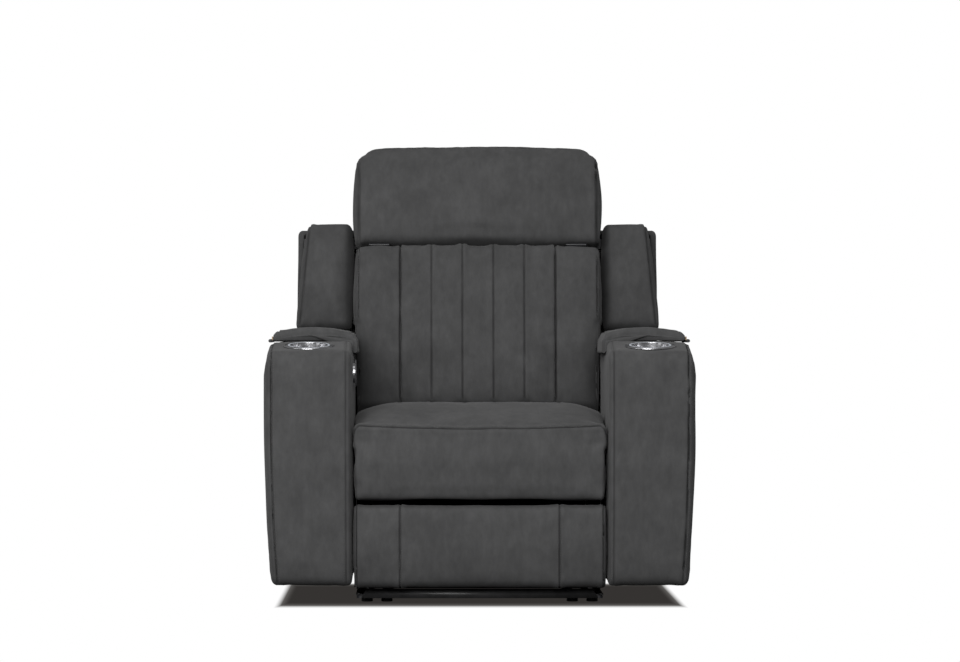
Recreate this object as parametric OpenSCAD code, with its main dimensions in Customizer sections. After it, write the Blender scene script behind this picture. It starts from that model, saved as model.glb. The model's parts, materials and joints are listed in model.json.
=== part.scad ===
// Cinema recliner seat with storage arms, cup holders and a powered back and footrest.
// Millimetres. +Z is up, the seat faces -Y, and the origin is on the floor under its middle.
// Left is -X, the side of the control ring. Folded points are written as [Y, Z].

/* [Arms] */
// Width of each arm
arm_w = 205; // [180:5:240]
// Height of the arm top above the floor
arm_h = 605; // [580:5:630]
// Length of each arm, front to rear
arm_l = 730; // [720:5:760]
// Height of the arm's lower edge above the floor
arm_floor_gap = 38; // [34:1:48]
// Thickness of the upholstered arm walls
arm_wall = 22; // [16:1:28]
// Radius along the outer top edge
arm_top_r = 30; // [20:1:40]
// Radius along the front and rear edges
arm_edge_r = 16; // [8:1:24]
// How far the outer side draws in at its foot
arm_draw_in = 17; // [8:1:26]
// Length of the sloping front deck
deck_l = 172; // [160:1:180]
// Forward slope of the front deck in degrees
deck_slope = 7.6; // [3:0.2:9]

/* [Storage bins and lids] */
// Depth of each storage bin
bin_depth = 190; // [120:5:230]
// Wall of the moulded bins
bin_wall = 3; // [2:0.5:4]
// Length of each lid
lid_l = 368; // [340:4:376]
// Thickness of the lid boards
lid_board_t = 8; // [6:1:10]
// Thickness of the lid pads above their boards
lid_pad_t = 19; // [14:1:26]
// How far the pad's soft lip hangs down the inner side
lid_lip_drop = 28; // [20:1:40]

/* [Cup holders] */
// Outer diameter of the steel flange
cup_flange_d = 118; // [108:1:126]
// Bore of the cup
cup_bore_d = 84; // [76:1:90]
// Depth of the cup below its flange
cup_depth = 70; // [50:1:90]
// Wall of the pressed steel cup
cup_wall = 1.5; // [1:0.5:2.5]
// Setback of the cup centre from the arm front
cup_setback = 90; // [84:1:96]

/* [Seat] */
// Clear width between the arms
seat_w = 590; // [540:5:640]
// Height of the crest of the seat cushion
seat_crest_h = 470; // [450:2:484]
// Height of the seam along the front of the seat
seat_front_h = 416; // [400:2:430]
// Depth of the seat cushion, front to rear
seat_l = 552; // [536:4:556]
// Height of the front roll's lower edge
seat_roll_h = 232; // [230:1:240]
// Height of the springs that carry the cushion
seat_deck_h = 316; // [314:1:322]

/* [Footrest] */
// Height of the footrest's lower edge
footrest_floor_gap = 36; // [34:1:42]
// Thickness of the footrest, pad and board
footrest_t = 64; // [56:1:70]
// Thickness of the footrest board
footrest_board_t = 12; // [9:1:15]
// Link travel from folded to open in degrees
footrest_swing = 90; // [80:1:92]

/* [Back] */
// Lean of the upright back in degrees
back_lean = 15; // [12:1:18]
// Distance from the rear of the seat cushion to the recline shaft
recline_gap = 70; // [66:1:78]
// Height of the recline shaft above the floor
recline_h = 300; // [296:1:304]
// Width of the back cushion above the arms
back_cushion_w = 598; // [586:2:610]
// Thickness of the back cushion
back_cushion_t = 118; // [100:2:130]
// Spacing of the stitched channels
channel_pitch = 74.5; // [70:0.5:78]
// Number of stitched channels
channel_count = 5; // [3:2:5]
// How far each channel swells between its seams
channel_swell = 13; // [6:1:18]
// Distance from the recline shaft to the top of the back cushion
back_cushion_top = 518; // [500:2:530]
// Distance from the recline shaft to the top of the rear shell
shell_top = 668; // [650:2:690]
// Distance that the rear shell lies behind the recline shaft
shell_rear = 120; // [116:1:130]
// Thickness of the rear shell
shell_t = 15; // [10:1:18]
// Width across the wings
wing_span = 888; // [860:4:920]
// Distance from the recline shaft to the top of the wings
wing_top = 594; // [560:2:610]

/* [Headrest] */
// Width of the headrest
headrest_w = 596; // [584:4:620]
// Height of the headrest pad
headrest_h = 244; // [230:2:260]
// Thickness of the headrest pad
headrest_t = 120; // [100:2:130]
// Gap between the back cushion and the headrest pad
headrest_gap = 9; // [9:0.5:12]

/* [Base] */
// Diameter of the round feet
foot_d = 27; // [22:1:34]
// Height of the feet
foot_h = 9; // [8:0.5:12]
// Thickness of the steel cross plates
base_plate_t = 6.4; // [5:0.2:8]
// Width of the cross plates, front to rear
base_plate_l = 76; // [60:1:84]
// Length of the cross plates, side to side
base_plate_w = 572; // [566:1:574]
// Setback of the front cross plate from the arm fronts
base_setback = 60; // [50:1:70]
// Height of the channel rails
rail_h = 34; // [30:1:36]
// Forward travel of the seat on its base
glide_travel = 100; // [60:5:100]

/* [Controls] */
// Outer diameter of the control ring
control_ring_d = 64; // [56:1:70]
// Diameter of each push button
button_d = 14; // [10:0.5:16]
// Spacing of the two buttons
button_pitch = 19; // [17:0.5:22]
// Travel of each button
button_travel = 2; // [1:0.5:3]

/* [Mechanism] */
// Thickness of the pressed steel links
link_t = 5; // [4:0.5:6]
// Width of the pressed steel links
link_w = 20; // [16:1:22]
// Length of the rear links from their upper pivot to the scissor pivot
rear_link_l = 210; // [204:1:214]
// Width of the links between their eyes
link_waist = 15; // [12:1:15]
// Diameter of the scissor rivets
rivet_d = 10; // [8:0.5:11]
// Running clearance around each pin
pin_clearance = 0.05; // [0.03:0.01:0.1]
// Thickness of the side plates
side_plate_t = 5; // [4:0.5:6]

/* [Hidden] */
$fn = 48;

// Finish colours
leather_colour = [0.27, 0.27, 0.28];
frame_colour = [0.12, 0.12, 0.14];
link_colour = [0.2, 0.2, 0.22];
steel_colour = [0.78, 0.79, 0.8];
plastic_colour = [0.08, 0.08, 0.09];
light_colour = [0.75, 0.85, 1];
board_colour = [0.45, 0.36, 0.25];

// Shared small sizes
overrun = 1;
soft_gap = 0.3;
panel_gap = 0.5;
soft_steps = 4;

// The whole seat
overall_w = seat_w + 2 * arm_w;
seat_front_setback = 8;
seat_rear_setback = seat_front_setback + seat_l;
recline_setback = seat_rear_setback + recline_gap;
shell_corner_r = 24;
shell_corner = [shell_rear - shell_corner_r, shell_top - shell_corner_r];
rear_reach = shell_corner.x * cos(back_lean) + shell_corner.y * sin(back_lean) + shell_corner_r;
overall_d = recline_setback + rear_reach;
front_y = -overall_d / 2;
inner_x = seat_w / 2;
outer_x = overall_w / 2;
arm_rear_y = front_y + arm_l;
recline_place = [front_y + recline_setback, recline_h];

// Place of a point from its setback behind the arm fronts and its height
function at(setback, height) = [front_y + setback, height];

// Corners of a filleted outline
function unit(v) = v / norm(v);
function half_turn(a, p, b) = acos(unit(a - p) * unit(b - p)) / 2;
function fillet_start(a, p, b, r) = p + unit(a - p) * r / tan(half_turn(a, p, b));
function fillet_centre(a, p, b, r) = p + unit(unit(a - p) + unit(b - p)) * r / sin(half_turn(a, p, b));
function turned(v, angle) = [v.x * cos(angle) - v.y * sin(angle), v.x * sin(angle) + v.y * cos(angle)];

// Points along one fillet, in steps, for the soft forms
function fillet_points(a, p, b, r, steps) = r == 0 ? [p] :
  let (c = fillet_centre(a, p, b, r), s = fillet_start(a, p, b, r) - c, e = fillet_start(b, p, a, r) - c,
    turn = atan2(s.x * e.y - s.y * e.x, s * e))
  [for (k = [0:steps]) c + turned(s, turn * k / steps)];

function soft_path(points, radii, steps) = let (n = len(points))
  [for (i = [0:n - 1]) let (before = points[(i + n - 1) % n], after = points[(i + 1) % n])
    each fillet_points(before, points[i], after, radii[i], steps)];

// Closed outline with true arcs at its convex corners
module filleted(points, radii) {
  n = len(points);
  polygon([for (i = [0:n - 1]) let (a = points[(i + n - 1) % n], p = points[i], b = points[(i + 1) % n])
    each radii[i] == 0 ? [p] : [fillet_start(a, p, b, radii[i]), fillet_start(b, p, a, radii[i])]]);
  for (i = [0:n - 1])
    if (radii[i] > 0)
      translate(fillet_centre(points[(i + n - 1) % n], points[i], points[(i + 1) % n], radii[i]))
        circle(radii[i]);
}

// Rectangle from two corners, with one fillet radius
function box_points(low, high) = [low, [high.x, low.y], high, [low.x, high.y]];
module filleted_box(low, high, r) filleted(box_points(low, high), [r, r, r, r]);

// Extrusions of [Y, Z] outlines along X, and of [X, Z] outlines along Y
module along_x(x, length) translate([x, 0, 0]) rotate([90, 0, 90]) linear_extrude(length) children();
module along_y(y, length) translate([0, y + length, 0]) rotate([90, 0, 0]) linear_extrude(length) children();
module box(low, high) translate(low) cube(high - low);
module pin_x(x, place, r, length) translate([x, place.x, place.y]) rotate([0, 90, 0]) cylinder(length, r, r);
module pin_y(place, r, length) translate(place) rotate([-90, 0, 0]) cylinder(length, r, r);
module on_side(side) mirror([side < 0 ? 1 : 0, 0, 0]) children();

// Flat link with a round eye at each of its pivots and a narrower bar between them
module bar(a, b, width)
  translate(a) rotate(atan2(b.y - a.y, b.x - a.x)) translate([0, -width / 2]) square([norm(b - a), width]);
module linkage(pivots) {
  for (k = [1:len(pivots) - 1]) bar(pivots[k - 1], pivots[k], link_waist);
  for (pivot = pivots) translate(pivot) circle(link_w / 2);
}

// Soft solid lofted along X through rings of [Y, Z] points
module soft_loft(stations, ring) {
  rings = [for (x = stations) ring(x)];
  count = len(rings[0]);
  last = len(stations) - 1;
  points = [for (i = [0:last]) for (p = rings[i]) [stations[i], p.x, p.y]];
  skin = [for (i = [0:last - 1]) for (j = [0:count - 1])
    let (a = i * count + j, b = i * count + (j + 1) % count)
    each [[a, b + count, b], [a, a + count, b + count]]];
  polyhedron(points, concat(skin, [[for (j = [0:count - 1]) j]],
    [[for (j = [count - 1:-1:0]) last * count + j]]));
}

// Stations of a loft: rounded ends and evenly spaced places between
function end_inset(x, half, r) = let (over = abs(x) - (half - r))
  over <= 0 ? 0 : r - sqrt(max(0, r * r - over * over));
function end_stations(half, r, steps) = [for (k = [0:steps]) half - r + r * sin(90 * k / steps)];
function even_stations(half, r, count) = let (flat = half - r)
  [for (k = [1:count - 1]) -flat + 2 * flat * k / count];
function reversed(list) = [for (i = [len(list) - 1:-1:0]) list[i]];
function loft_stations(half, r, steps, count) = let (ends = end_stations(half, r, steps))
  concat(-1 * reversed(ends), even_stations(half, r, count), ends);

// Ring drawn in towards its centre
function drawn_in(ring, middle, half, inset) = let (kept = [1 - inset / half.x, 1 - inset / half.y])
  [for (p = ring) [middle.x + (p.x - middle.x) * kept.x, middle.y + (p.y - middle.y) * kept.y]];
function ring_low(ring) = [min([for (p = ring) p.x]), min([for (p = ring) p.y])];
function ring_high(ring) = [max([for (p = ring) p.x]), max([for (p = ring) p.y])];
function soft_ring(ring, inset) = let (low = ring_low(ring), high = ring_high(ring))
  drawn_in(ring, (low + high) / 2, (high - low) / 2, inset);

// Base: cross plates, rails and feet
base_top = foot_h + base_plate_t;
plate_corner_r = 8;
base_rear_reach = 10;
base_rear_setback = recline_setback + base_rear_reach;
rail_w = 26;
rail_wall = 2.5;
rail_clearance = 2;
rail_front_inset = 18;
rail_rear_inset = 12;
rail_front_setback = base_setback + rail_front_inset;
rail_rear_setback = base_rear_setback + base_plate_l - rail_rear_inset;
rail_outer_x = inner_x - side_plate_t - rail_clearance;
rail_inner_x = rail_outer_x - rail_w;
foot_edge = 24;
foot_pitch = 46;

module base_plate(setback) color(frame_colour) translate([0, front_y + setback, foot_h])
  linear_extrude(base_plate_t)
    filleted_box([-base_plate_w / 2, 0], [base_plate_w / 2, base_plate_l], plate_corner_r);

module base_rail(side) color(frame_colour) on_side(side)
  along_y(front_y + rail_front_setback, rail_rear_setback - rail_front_setback) difference() {
    translate([rail_inner_x, base_top]) square([rail_w, rail_h]);
    translate([rail_inner_x + rail_wall, base_top + rail_wall]) square([rail_w, rail_h - 2 * rail_wall]);
  }

module base_feet() color(plastic_colour)
  for (side = [-1, 1], setback = [base_setback, base_rear_setback], inset = [foot_edge, foot_edge + foot_pitch])
    translate([side * (base_plate_w / 2 - inset), front_y + setback + base_plate_l / 2, 0])
      cylinder(foot_h, foot_d / 2, foot_d / 2);

// Glide drive: the rod is held by the base, its motor by the sliding seat
glide_h = 96;
glide_rod_r = 8;
glide_tube_r = 15;
glide_tube_spare = 50;
glide_tube_l = glide_travel + glide_tube_spare;
glide_gear_l = 60;
glide_gear_r = 24;
glide_bracket_w = 40;
glide_bracket_t = 6;
plate_leg_setback = 372;
cross_tube_r = 14;
cross_tube_inset = 36;
cross_tube_h = 104;
cross_tube_place = at(plate_leg_setback + cross_tube_inset, cross_tube_h);
glide_motor_y = cross_tube_place.x + cross_tube_r;
glide_gear_end_y = glide_motor_y + glide_gear_l;
glide_bracket_y = front_y + base_rear_setback + base_plate_l / 3;

module glide_rod() color(steel_colour) {
  pin_y([0, glide_gear_end_y + overrun, glide_h], glide_rod_r,
    glide_bracket_y - glide_gear_end_y - overrun + glide_bracket_t);
  along_y(glide_bracket_y, glide_bracket_t)
    filleted([[-glide_bracket_w / 2, base_top], [glide_bracket_w / 2, base_top],
      [glide_bracket_w / 2, glide_h + glide_tube_r], [-glide_bracket_w / 2, glide_h + glide_tube_r]],
      [0, 0, glide_rod_r, glide_rod_r]);
}

module glide_motor() color(plastic_colour) difference() {
  union() {
    pin_y([0, glide_motor_y, glide_h], glide_gear_r, glide_gear_l);
    pin_y([0, glide_motor_y, glide_h], glide_tube_r, glide_gear_l + glide_tube_l);
    box([-glide_gear_r, glide_motor_y, glide_h], [glide_gear_r, glide_gear_end_y, glide_h + glide_gear_r]);
  }
  pin_y([0, glide_gear_end_y, glide_h], glide_rod_r + pin_clearance, glide_tube_l + overrun);
}

// Side plates, the members between them, and the blocks that run in the rails
plate_in_x = inner_x - side_plate_t;
plate_rear_reach = 42;
plate_rear_setback = recline_setback + plate_rear_reach;
plate_low_h = 22;
plate_band_h = 254;
plate_rear_h = 330;
plate_r = 14;
window_front_edge = 80;
window_rear_edge = 48;
window_low_h = 78;
window_top_h = 236;
window_low = at(plate_leg_setback + window_front_edge, window_low_h);
window_high = at(plate_rear_setback - window_rear_edge, window_top_h);
block_l = 60;
block_front_edge = 18;
block_rear_edge = 112;
block_setbacks = [plate_leg_setback + block_front_edge, plate_rear_setback - block_rear_edge];
block_clearance = 0.1;
cross_rail_w = 25;
cross_rail_t = 36;
cross_rail_wall = 2;
spring_wire_r = 2;
cross_rail_top = seat_deck_h - 2 * spring_wire_r;
front_rail_setback = 96;
rear_rail_setback = seat_rear_setback - cross_rail_w;
recline_r = 12;
scissor_setback = 180;
scissor_h = 290;
scissor_place = at(scissor_setback, scissor_h);
control_offset = 60;
pivot_r = 8;
boss_r = 12;
boss_t = 4;
rivet_r = rivet_d / 2;
rivet_head_r = 8;
rivet_head_t = 3;
torque_r = 11;
torque_grip = 20;

// The scissor folds in two planes. Its rear and control links stay parallel, and so do the
// front and outer links, so the footrest turns as far as the rear links do.
fold_angle = -120;
control_angle = fold_angle + footrest_swing / 2 - 90;
link_out_x = 255;
link_in_x = link_out_x - link_t;
link_gap = 1;
front_out_x = link_in_x - link_gap;
front_in_x = front_out_x - link_t;
head_gap = 0.3;
footrest_front_setback = 12;
footrest_rear_setback = footrest_front_setback + footrest_t;
footrest_seat_gap = 5;
footrest_top = seat_roll_h - footrest_seat_gap;
bracket_reach = 24;
footrest_pivot_h = 210;
footrest_pivot = at(footrest_rear_setback + bracket_reach, footrest_pivot_h);
outer_offset = 38;
function toward(angle, length) = [-length * cos(angle), length * sin(angle)];
control_place = scissor_place + toward(control_angle, control_offset);
scissor_pivot = scissor_place + toward(fold_angle, rear_link_l);
control_pivot = scissor_pivot + toward(control_angle, control_offset);
front_span = footrest_pivot - scissor_pivot;
front_angle = atan2(front_span.y, -front_span.x);
outer_turn = toward(front_angle - footrest_swing / 2 - 90, outer_offset);
outer_pivot = scissor_pivot + outer_turn;
footrest_guide = footrest_pivot + outer_turn;

module side_plate(side) color(frame_colour) on_side(side) along_x(plate_in_x, side_plate_t) difference() {
  union() {
    filleted_box(at(plate_front_setback, plate_band_h), at(plate_rear_setback, cross_rail_top), plate_r);
    filleted_box(at(plate_leg_setback, plate_low_h), at(plate_rear_setback, cross_rail_top), plate_r);
    filleted_box(at(seat_rear_setback + plate_r, plate_band_h), at(plate_rear_setback, plate_rear_h), plate_r);
  }
  filleted_box(window_low, window_high, plate_r);
  translate(recline_place) circle(recline_r + pin_clearance);
}

block_in = rail_wall + block_clearance;
module slide_blocks() color(plastic_colour)
  for (side = [-1, 1], setback = block_setbacks) on_side(side)
    box([rail_inner_x + block_in, front_y + setback, base_top + block_in],
      [plate_in_x, front_y + setback + block_l, base_top + rail_h - block_in]);

cross_rail_low = cross_rail_top - cross_rail_t;
module cross_rail(setback) color(frame_colour) along_x(-plate_in_x, 2 * plate_in_x) difference() {
  filleted_box(at(setback, cross_rail_low), at(setback + cross_rail_w, cross_rail_top), cross_rail_wall);
  translate(at(setback + cross_rail_wall, cross_rail_low + cross_rail_wall))
    square([cross_rail_w - 2 * cross_rail_wall, cross_rail_t - 2 * cross_rail_wall]);
}

module cross_tube_low() color(frame_colour) along_x(-plate_in_x, 2 * plate_in_x) translate(cross_tube_place)
  difference() {
    circle(cross_tube_r);
    circle(cross_tube_r - cross_rail_wall);
  }

module pivot_pins() color(steel_colour) for (side = [-1, 1]) on_side(side) {
  pin_x(plate_in_x - boss_t, scissor_place, boss_r, boss_t);
  pin_x(link_in_x - torque_grip, scissor_place, pivot_r, plate_in_x - link_in_x + torque_grip);
  pin_x(plate_in_x - boss_t, control_place, boss_r, boss_t);
  pin_x(link_in_x - link_gap / 2, control_place, rivet_r, plate_in_x - link_in_x + link_gap / 2);
  pin_x(link_in_x - link_gap / 2 - rivet_head_t, control_place, rivet_head_r, rivet_head_t);
}

// Zigzag seat springs, laid flat on the cross rails
spring_count = 4;
spring_spacing = 124;
spring_bend_count = 11;
spring_half_w = 24;
spring_start = front_rail_setback + cross_rail_w / 2;
spring_end = rear_rail_setback + cross_rail_w / 2;
spring_pitch = (spring_end - spring_start) / spring_bend_count;

module spring_bend() intersection() {
  difference() {
    circle(spring_pitch / 2 + spring_wire_r);
    circle(spring_pitch / 2 - spring_wire_r);
  }
  translate([0, -spring_pitch]) square([spring_pitch, 2 * spring_pitch]);
}

module seat_spring() linear_extrude(2 * spring_wire_r)
  for (k = [0:spring_bend_count]) translate([0, k * spring_pitch]) {
    translate([-spring_half_w, -spring_wire_r]) square([2 * spring_half_w, 2 * spring_wire_r]);
    if (k < spring_bend_count) mirror([k % 2, 0]) translate([spring_half_w, spring_pitch / 2]) spring_bend();
  }

module seat_springs() color(steel_colour)
  for (k = [0:spring_count - 1])
    translate([(k - (spring_count - 1) / 2) * spring_spacing, front_y + spring_start, cross_rail_top])
      seat_spring();

// Seat cushion with a front roll, a crown and sides that fall away
seat_back_h = 405;
seat_crest_setback = 190;
seat_bulge_setback = 3;
seat_roll_setback = 90;
seat_fall = 24;
seat_fall_l = 115;
seat_end_r = 18;
seat_half = inner_x - panel_gap;
plate_front_setback = seat_roll_setback + seat_end_r;
seat_sections = 12;
seat_points = [at(seat_front_setback, seat_roll_h), at(seat_roll_setback, seat_roll_h),
  at(seat_roll_setback, seat_deck_h), at(seat_rear_setback, seat_deck_h), at(seat_rear_setback, seat_back_h),
  at(seat_crest_setback, seat_crest_h), at(seat_front_setback, seat_front_h),
  at(seat_bulge_setback, (seat_front_h + seat_roll_h) / 2)];
seat_radii = [16, 38, 0, 10, 24, 160, 22, 60];
seat_path = soft_path(seat_points, seat_radii, soft_steps);
function seat_drop(x) = seat_fall * pow(max(0, abs(x) - seat_half + seat_fall_l) / seat_fall_l, 2);
function seat_ring(x) = let (low = seat_deck_h, drop = seat_drop(x) / (seat_crest_h - low))
  soft_ring([for (p = seat_path) p.y > low ? [p.x, p.y - drop * (p.y - low)] : p],
    end_inset(x, seat_half, seat_end_r));

module seat_cushion() color(leather_colour)
  soft_loft(loft_stations(seat_half, seat_end_r, soft_steps, seat_sections), function(x) seat_ring(x));

// Arms: an upholstered box, open below, with a lid opening and a bore for the cup
belly_h = 430;
arm_inner_top_r = 10;
deck_front_r = 24;
deck_flat = 4;
belly_r = (pow(belly_h - arm_floor_gap, 2) + arm_draw_in * arm_draw_in) / (2 * arm_draw_in);
deck_nose = deck_front_r + deck_flat;
deck_drop = (deck_l - deck_nose) * tan(deck_slope);
arm_mid_x = inner_x + arm_w / 2;
bin_in_edge = 36;
bin_out_edge = 60;
bin_front_edge = 24;
bin_rear_edge = 8;
bin_in_x = inner_x + bin_in_edge;
bin_out_x = outer_x - bin_out_edge;
bin_front_setback = deck_l + bin_front_edge;
bin_rear_setback = deck_l + lid_l - bin_rear_edge;
bin_r = 20;
bin_flange = 10;
bin_flange_t = 2;
cup_r = cup_bore_d / 2;
cup_outer_r = cup_r + cup_wall;
cup_hole_r = cup_outer_r + panel_gap;
cup_h = arm_h - (deck_l - cup_setback) * tan(deck_slope);
control_setback = 95;
control_drop = 73;
control_place_left = at(control_setback, arm_h - control_drop);
control_barrel_r = 24;
control_barrel_l = 16;

module arm_front_outline() intersection() {
  filleted(box_points([inner_x, arm_floor_gap], [outer_x, arm_h]),
    [arm_inner_top_r, arm_inner_top_r, arm_top_r, arm_inner_top_r]);
  translate([outer_x - belly_r, belly_h]) circle(belly_r, $fn = 720);
}
module arm_side_outline()
  filleted([at(0, arm_floor_gap), at(arm_l, arm_floor_gap), at(arm_l, arm_h), at(deck_l, arm_h),
    at(deck_nose, arm_h - deck_drop), at(0, arm_h - deck_drop)],
    [arm_edge_r, arm_edge_r, arm_edge_r, 0, 0, deck_front_r]);

module on_deck(side)
  translate([side * arm_mid_x, front_y + cup_setback, cup_h]) rotate([deck_slope, 0, 0]) children();

module bin_opening(low, high, grow) translate([0, 0, low]) linear_extrude(high - low)
  filleted_box([bin_in_x - grow, front_y + bin_front_setback - grow],
    [bin_out_x + grow, front_y + bin_rear_setback + grow], bin_r);

module arm_body() difference() {
  intersection() {
    along_y(front_y, arm_l) arm_front_outline();
    along_x(inner_x, arm_w) arm_side_outline();
    linear_extrude(arm_h + overrun) filleted_box([inner_x, front_y], [outer_x, arm_rear_y], arm_edge_r);
  }
  box([inner_x + arm_wall, front_y + arm_wall, 0],
    [outer_x - arm_draw_in - arm_wall, arm_rear_y - arm_wall, arm_h - deck_drop - arm_wall]);
  bin_opening(arm_h - arm_h / 3, arm_h + overrun, panel_gap);
  on_deck(1) translate([0, 0, -cup_depth]) cylinder(cup_depth + overrun, cup_hole_r, cup_hole_r);
}
module arm_left() color(leather_colour) difference() {
  on_side(-1) arm_body();
  pin_x(-inner_x - arm_wall - overrun, control_place_left, control_barrel_r + panel_gap,
    arm_wall + 2 * overrun);
}
module arm_right() color(leather_colour) arm_body();

module storage_bin(side) color(plastic_colour) on_side(side) difference() {
  union() {
    bin_opening(arm_h - bin_depth, arm_h, 0);
    bin_opening(arm_h, arm_h + bin_flange_t, bin_flange);
  }
  bin_opening(arm_h - bin_depth + bin_wall, arm_h + bin_flange_t + overrun, -bin_wall);
}

// Cup holders: a pressed cup with a stepped flange, and a ring of light set in it
flange_t = 2.5;
flange_r = cup_flange_d / 2;
light_w = 4;
light_t = 1.5;
light_gap = 1.5;
light_in_r = cup_outer_r + light_gap;

module cup_holder(side) color(steel_colour) on_deck(side) difference() {
  union() {
    cylinder(flange_t / 2, flange_r, flange_r);
    translate([0, 0, flange_t / 2]) cylinder(flange_t / 2, flange_r, flange_r - flange_t / 2);
    translate([0, 0, flange_t]) cylinder(light_t, light_in_r, light_in_r);
    translate([0, 0, -cup_depth]) cylinder(cup_depth, cup_outer_r, cup_outer_r);
  }
  translate([0, 0, cup_wall - cup_depth]) cylinder(cup_depth + flange_t + 2 * overrun, cup_r, cup_r);
}
module cup_light(side) color(light_colour) on_deck(side) translate([0, 0, flange_t])
  rotate_extrude() translate([light_in_r, 0]) square([light_w, light_t]);

// Lids: each opens outward on a hinge along the outer edge of its arm
hinge_leaf_t = 2;
hinge_knuckle_r = 4;
hinge_pin_r = 1.5;
hinge_edge = 9.5;
hinge_leaf_in = 46;
hinge_end = 20;
knuckle_count = 5;
knuckle_gap = 0.2;
lid_front_gap = 4;
lid_front_setback = deck_l + lid_front_gap;
lid_edge = 8;
lid_board_low = arm_h + 2 * hinge_leaf_t;
hinge_place = [outer_x - hinge_edge, arm_h + hinge_leaf_t];
hinge_y = front_y + lid_front_setback + hinge_end;
hinge_l = lid_l - 2 * hinge_end;
knuckle_l = hinge_l / knuckle_count;

module knuckle(k) pin_y([hinge_place.x, hinge_y + k * knuckle_l + knuckle_gap, hinge_place.y],
  hinge_knuckle_r, knuckle_l - 2 * knuckle_gap);
module hinge_bore(grow) pin_y([hinge_place.x, hinge_y - overrun, hinge_place.y],
  hinge_pin_r + grow, hinge_l + 2 * overrun);
module hinge_leaf(low, first) difference() {
  union() {
    box([outer_x - hinge_leaf_in, hinge_y, low],
      [hinge_place.x - hinge_knuckle_r, hinge_y + hinge_l, low + hinge_leaf_t]);
    for (k = [first:2:knuckle_count - 1]) {
      knuckle(k);
      box([hinge_place.x - hinge_knuckle_r, hinge_y + k * knuckle_l + knuckle_gap, low],
        [hinge_place.x, hinge_y + (k + 1) * knuckle_l - knuckle_gap, low + hinge_leaf_t]);
    }
  }
  hinge_bore(pin_clearance);
}
module lid_hinge(side) color(steel_colour) on_side(side) {
  hinge_leaf(arm_h, 0);
  pin_y([hinge_place.x, hinge_y, hinge_place.y], hinge_pin_r, hinge_l);
  for (end = [hinge_y, hinge_y + hinge_l - knuckle_gap])
    pin_y([hinge_place.x, end, hinge_place.y], hinge_pin_r + 2 * pin_clearance, knuckle_gap);
}
module lid_leaf(side) color(steel_colour) on_side(side) hinge_leaf(arm_h + hinge_leaf_t, 1);
module lid_board(side) color(board_colour) on_side(side)
  translate([0, front_y + lid_front_setback, lid_board_low])
    box([inner_x + lid_edge, lid_edge, 0],
      [hinge_place.x - hinge_knuckle_r - panel_gap, lid_l - lid_edge, lid_board_t]);

// Lid pads: crowned on top, with a soft lip sewn on that hangs down the inner side
lid_lip_t = 11;
lid_lip_r = 4;
lid_crown = 5;
lid_outer_edge = 7.5;
lid_outer_x = outer_x - lid_outer_edge;
lid_inner_x = inner_x - lid_lip_t;
lid_low = lid_board_low + lid_board_t;
lid_top = lid_low + lid_pad_t;
lid_half = lid_l / 2;
lid_end_r = 14;
lid_sections = 6;
lid_w = lid_outer_x - lid_inner_x;
lid_points = concat([[lid_outer_x, lid_low]],
  [for (share = [0:0.2:1])
    [lid_outer_x - share * lid_w, lid_top + lid_crown * (1 - 2 * pow(2 * share - 1, 2))]],
  [[lid_inner_x, lid_low]]);
lid_radii = [4, 9, 0, 0, 0, 0, 9, 0];
lid_path = soft_path(lid_points, lid_radii, soft_steps);
function lid_ring(y) = let (inset = end_inset(y, lid_half, lid_end_r), low = lid_low)
  [for (p = lid_path) p.y > low ? [p.x, p.y - inset * (p.y - low) / lid_pad_t] : p];
module lid_pad(side) color(leather_colour) on_side(side)
  translate([0, front_y + lid_front_setback + lid_half, 0]) mirror([1, 0, 0]) rotate([0, 0, 90])
    soft_loft(loft_stations(lid_half, lid_end_r, soft_steps, lid_sections), function(y) lid_ring(y));
module lid_lip(side) color(leather_colour) on_side(side)
  along_y(front_y + lid_front_setback, lid_l)
    filleted(box_points([lid_inner_x, arm_h - lid_lip_drop], [inner_x - panel_gap, lid_low]),
      [lid_lip_r, lid_lip_r, 0, 0]);

// Control ring with two sprung buttons, set in the inner side of the left arm
control_ring_r = control_ring_d / 2;
control_ring_t = 3;
control_plate_t = 3;
control_recess = 2;
button_r = button_d / 2;
button_proud = 1;
button_l = 9;
button_clearance = 0.1;
button_high = control_place_left + [0, button_pitch / 2];
button_low = control_place_left - [0, button_pitch / 2];

module control_ring() color(steel_colour) difference() {
  union() {
    pin_x(-inner_x, control_place_left, control_ring_r, control_ring_t);
    pin_x(-inner_x - control_barrel_l, control_place_left, control_barrel_r, control_barrel_l);
  }
  pin_x(-inner_x - control_recess, control_place_left, control_barrel_r - control_recess,
    control_recess + control_ring_t + overrun);
  pin_x(-inner_x - control_barrel_l - overrun, control_place_left, control_barrel_r - control_recess,
    control_barrel_l - control_recess - control_plate_t + overrun);
  for (place = [button_high, button_low])
    pin_x(-inner_x - control_barrel_l, place, button_r + button_clearance, control_barrel_l + overrun);
}
module button(place) color(plastic_colour)
  pin_x(-inner_x - control_recess + button_proud + button_travel - button_l, place, button_r, button_l);

// Gear motors on the footrest tube and the recline shaft, and the power box
gear_half_w = 40;
gear_rear_reach = 32;
gear_low_h = 264;
motor_r = 22;
motor_l = 130;
recline_motor_drop = 38;
recline_gear_low = 240;
recline_gear_top = 322;
recline_gear_reach = 32;
power_box_x = 70;
power_box_size = [130, 64, 34];
inlet_size = [30, 8, 22];
inlet_hole = [24, 6, 16];

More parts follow.
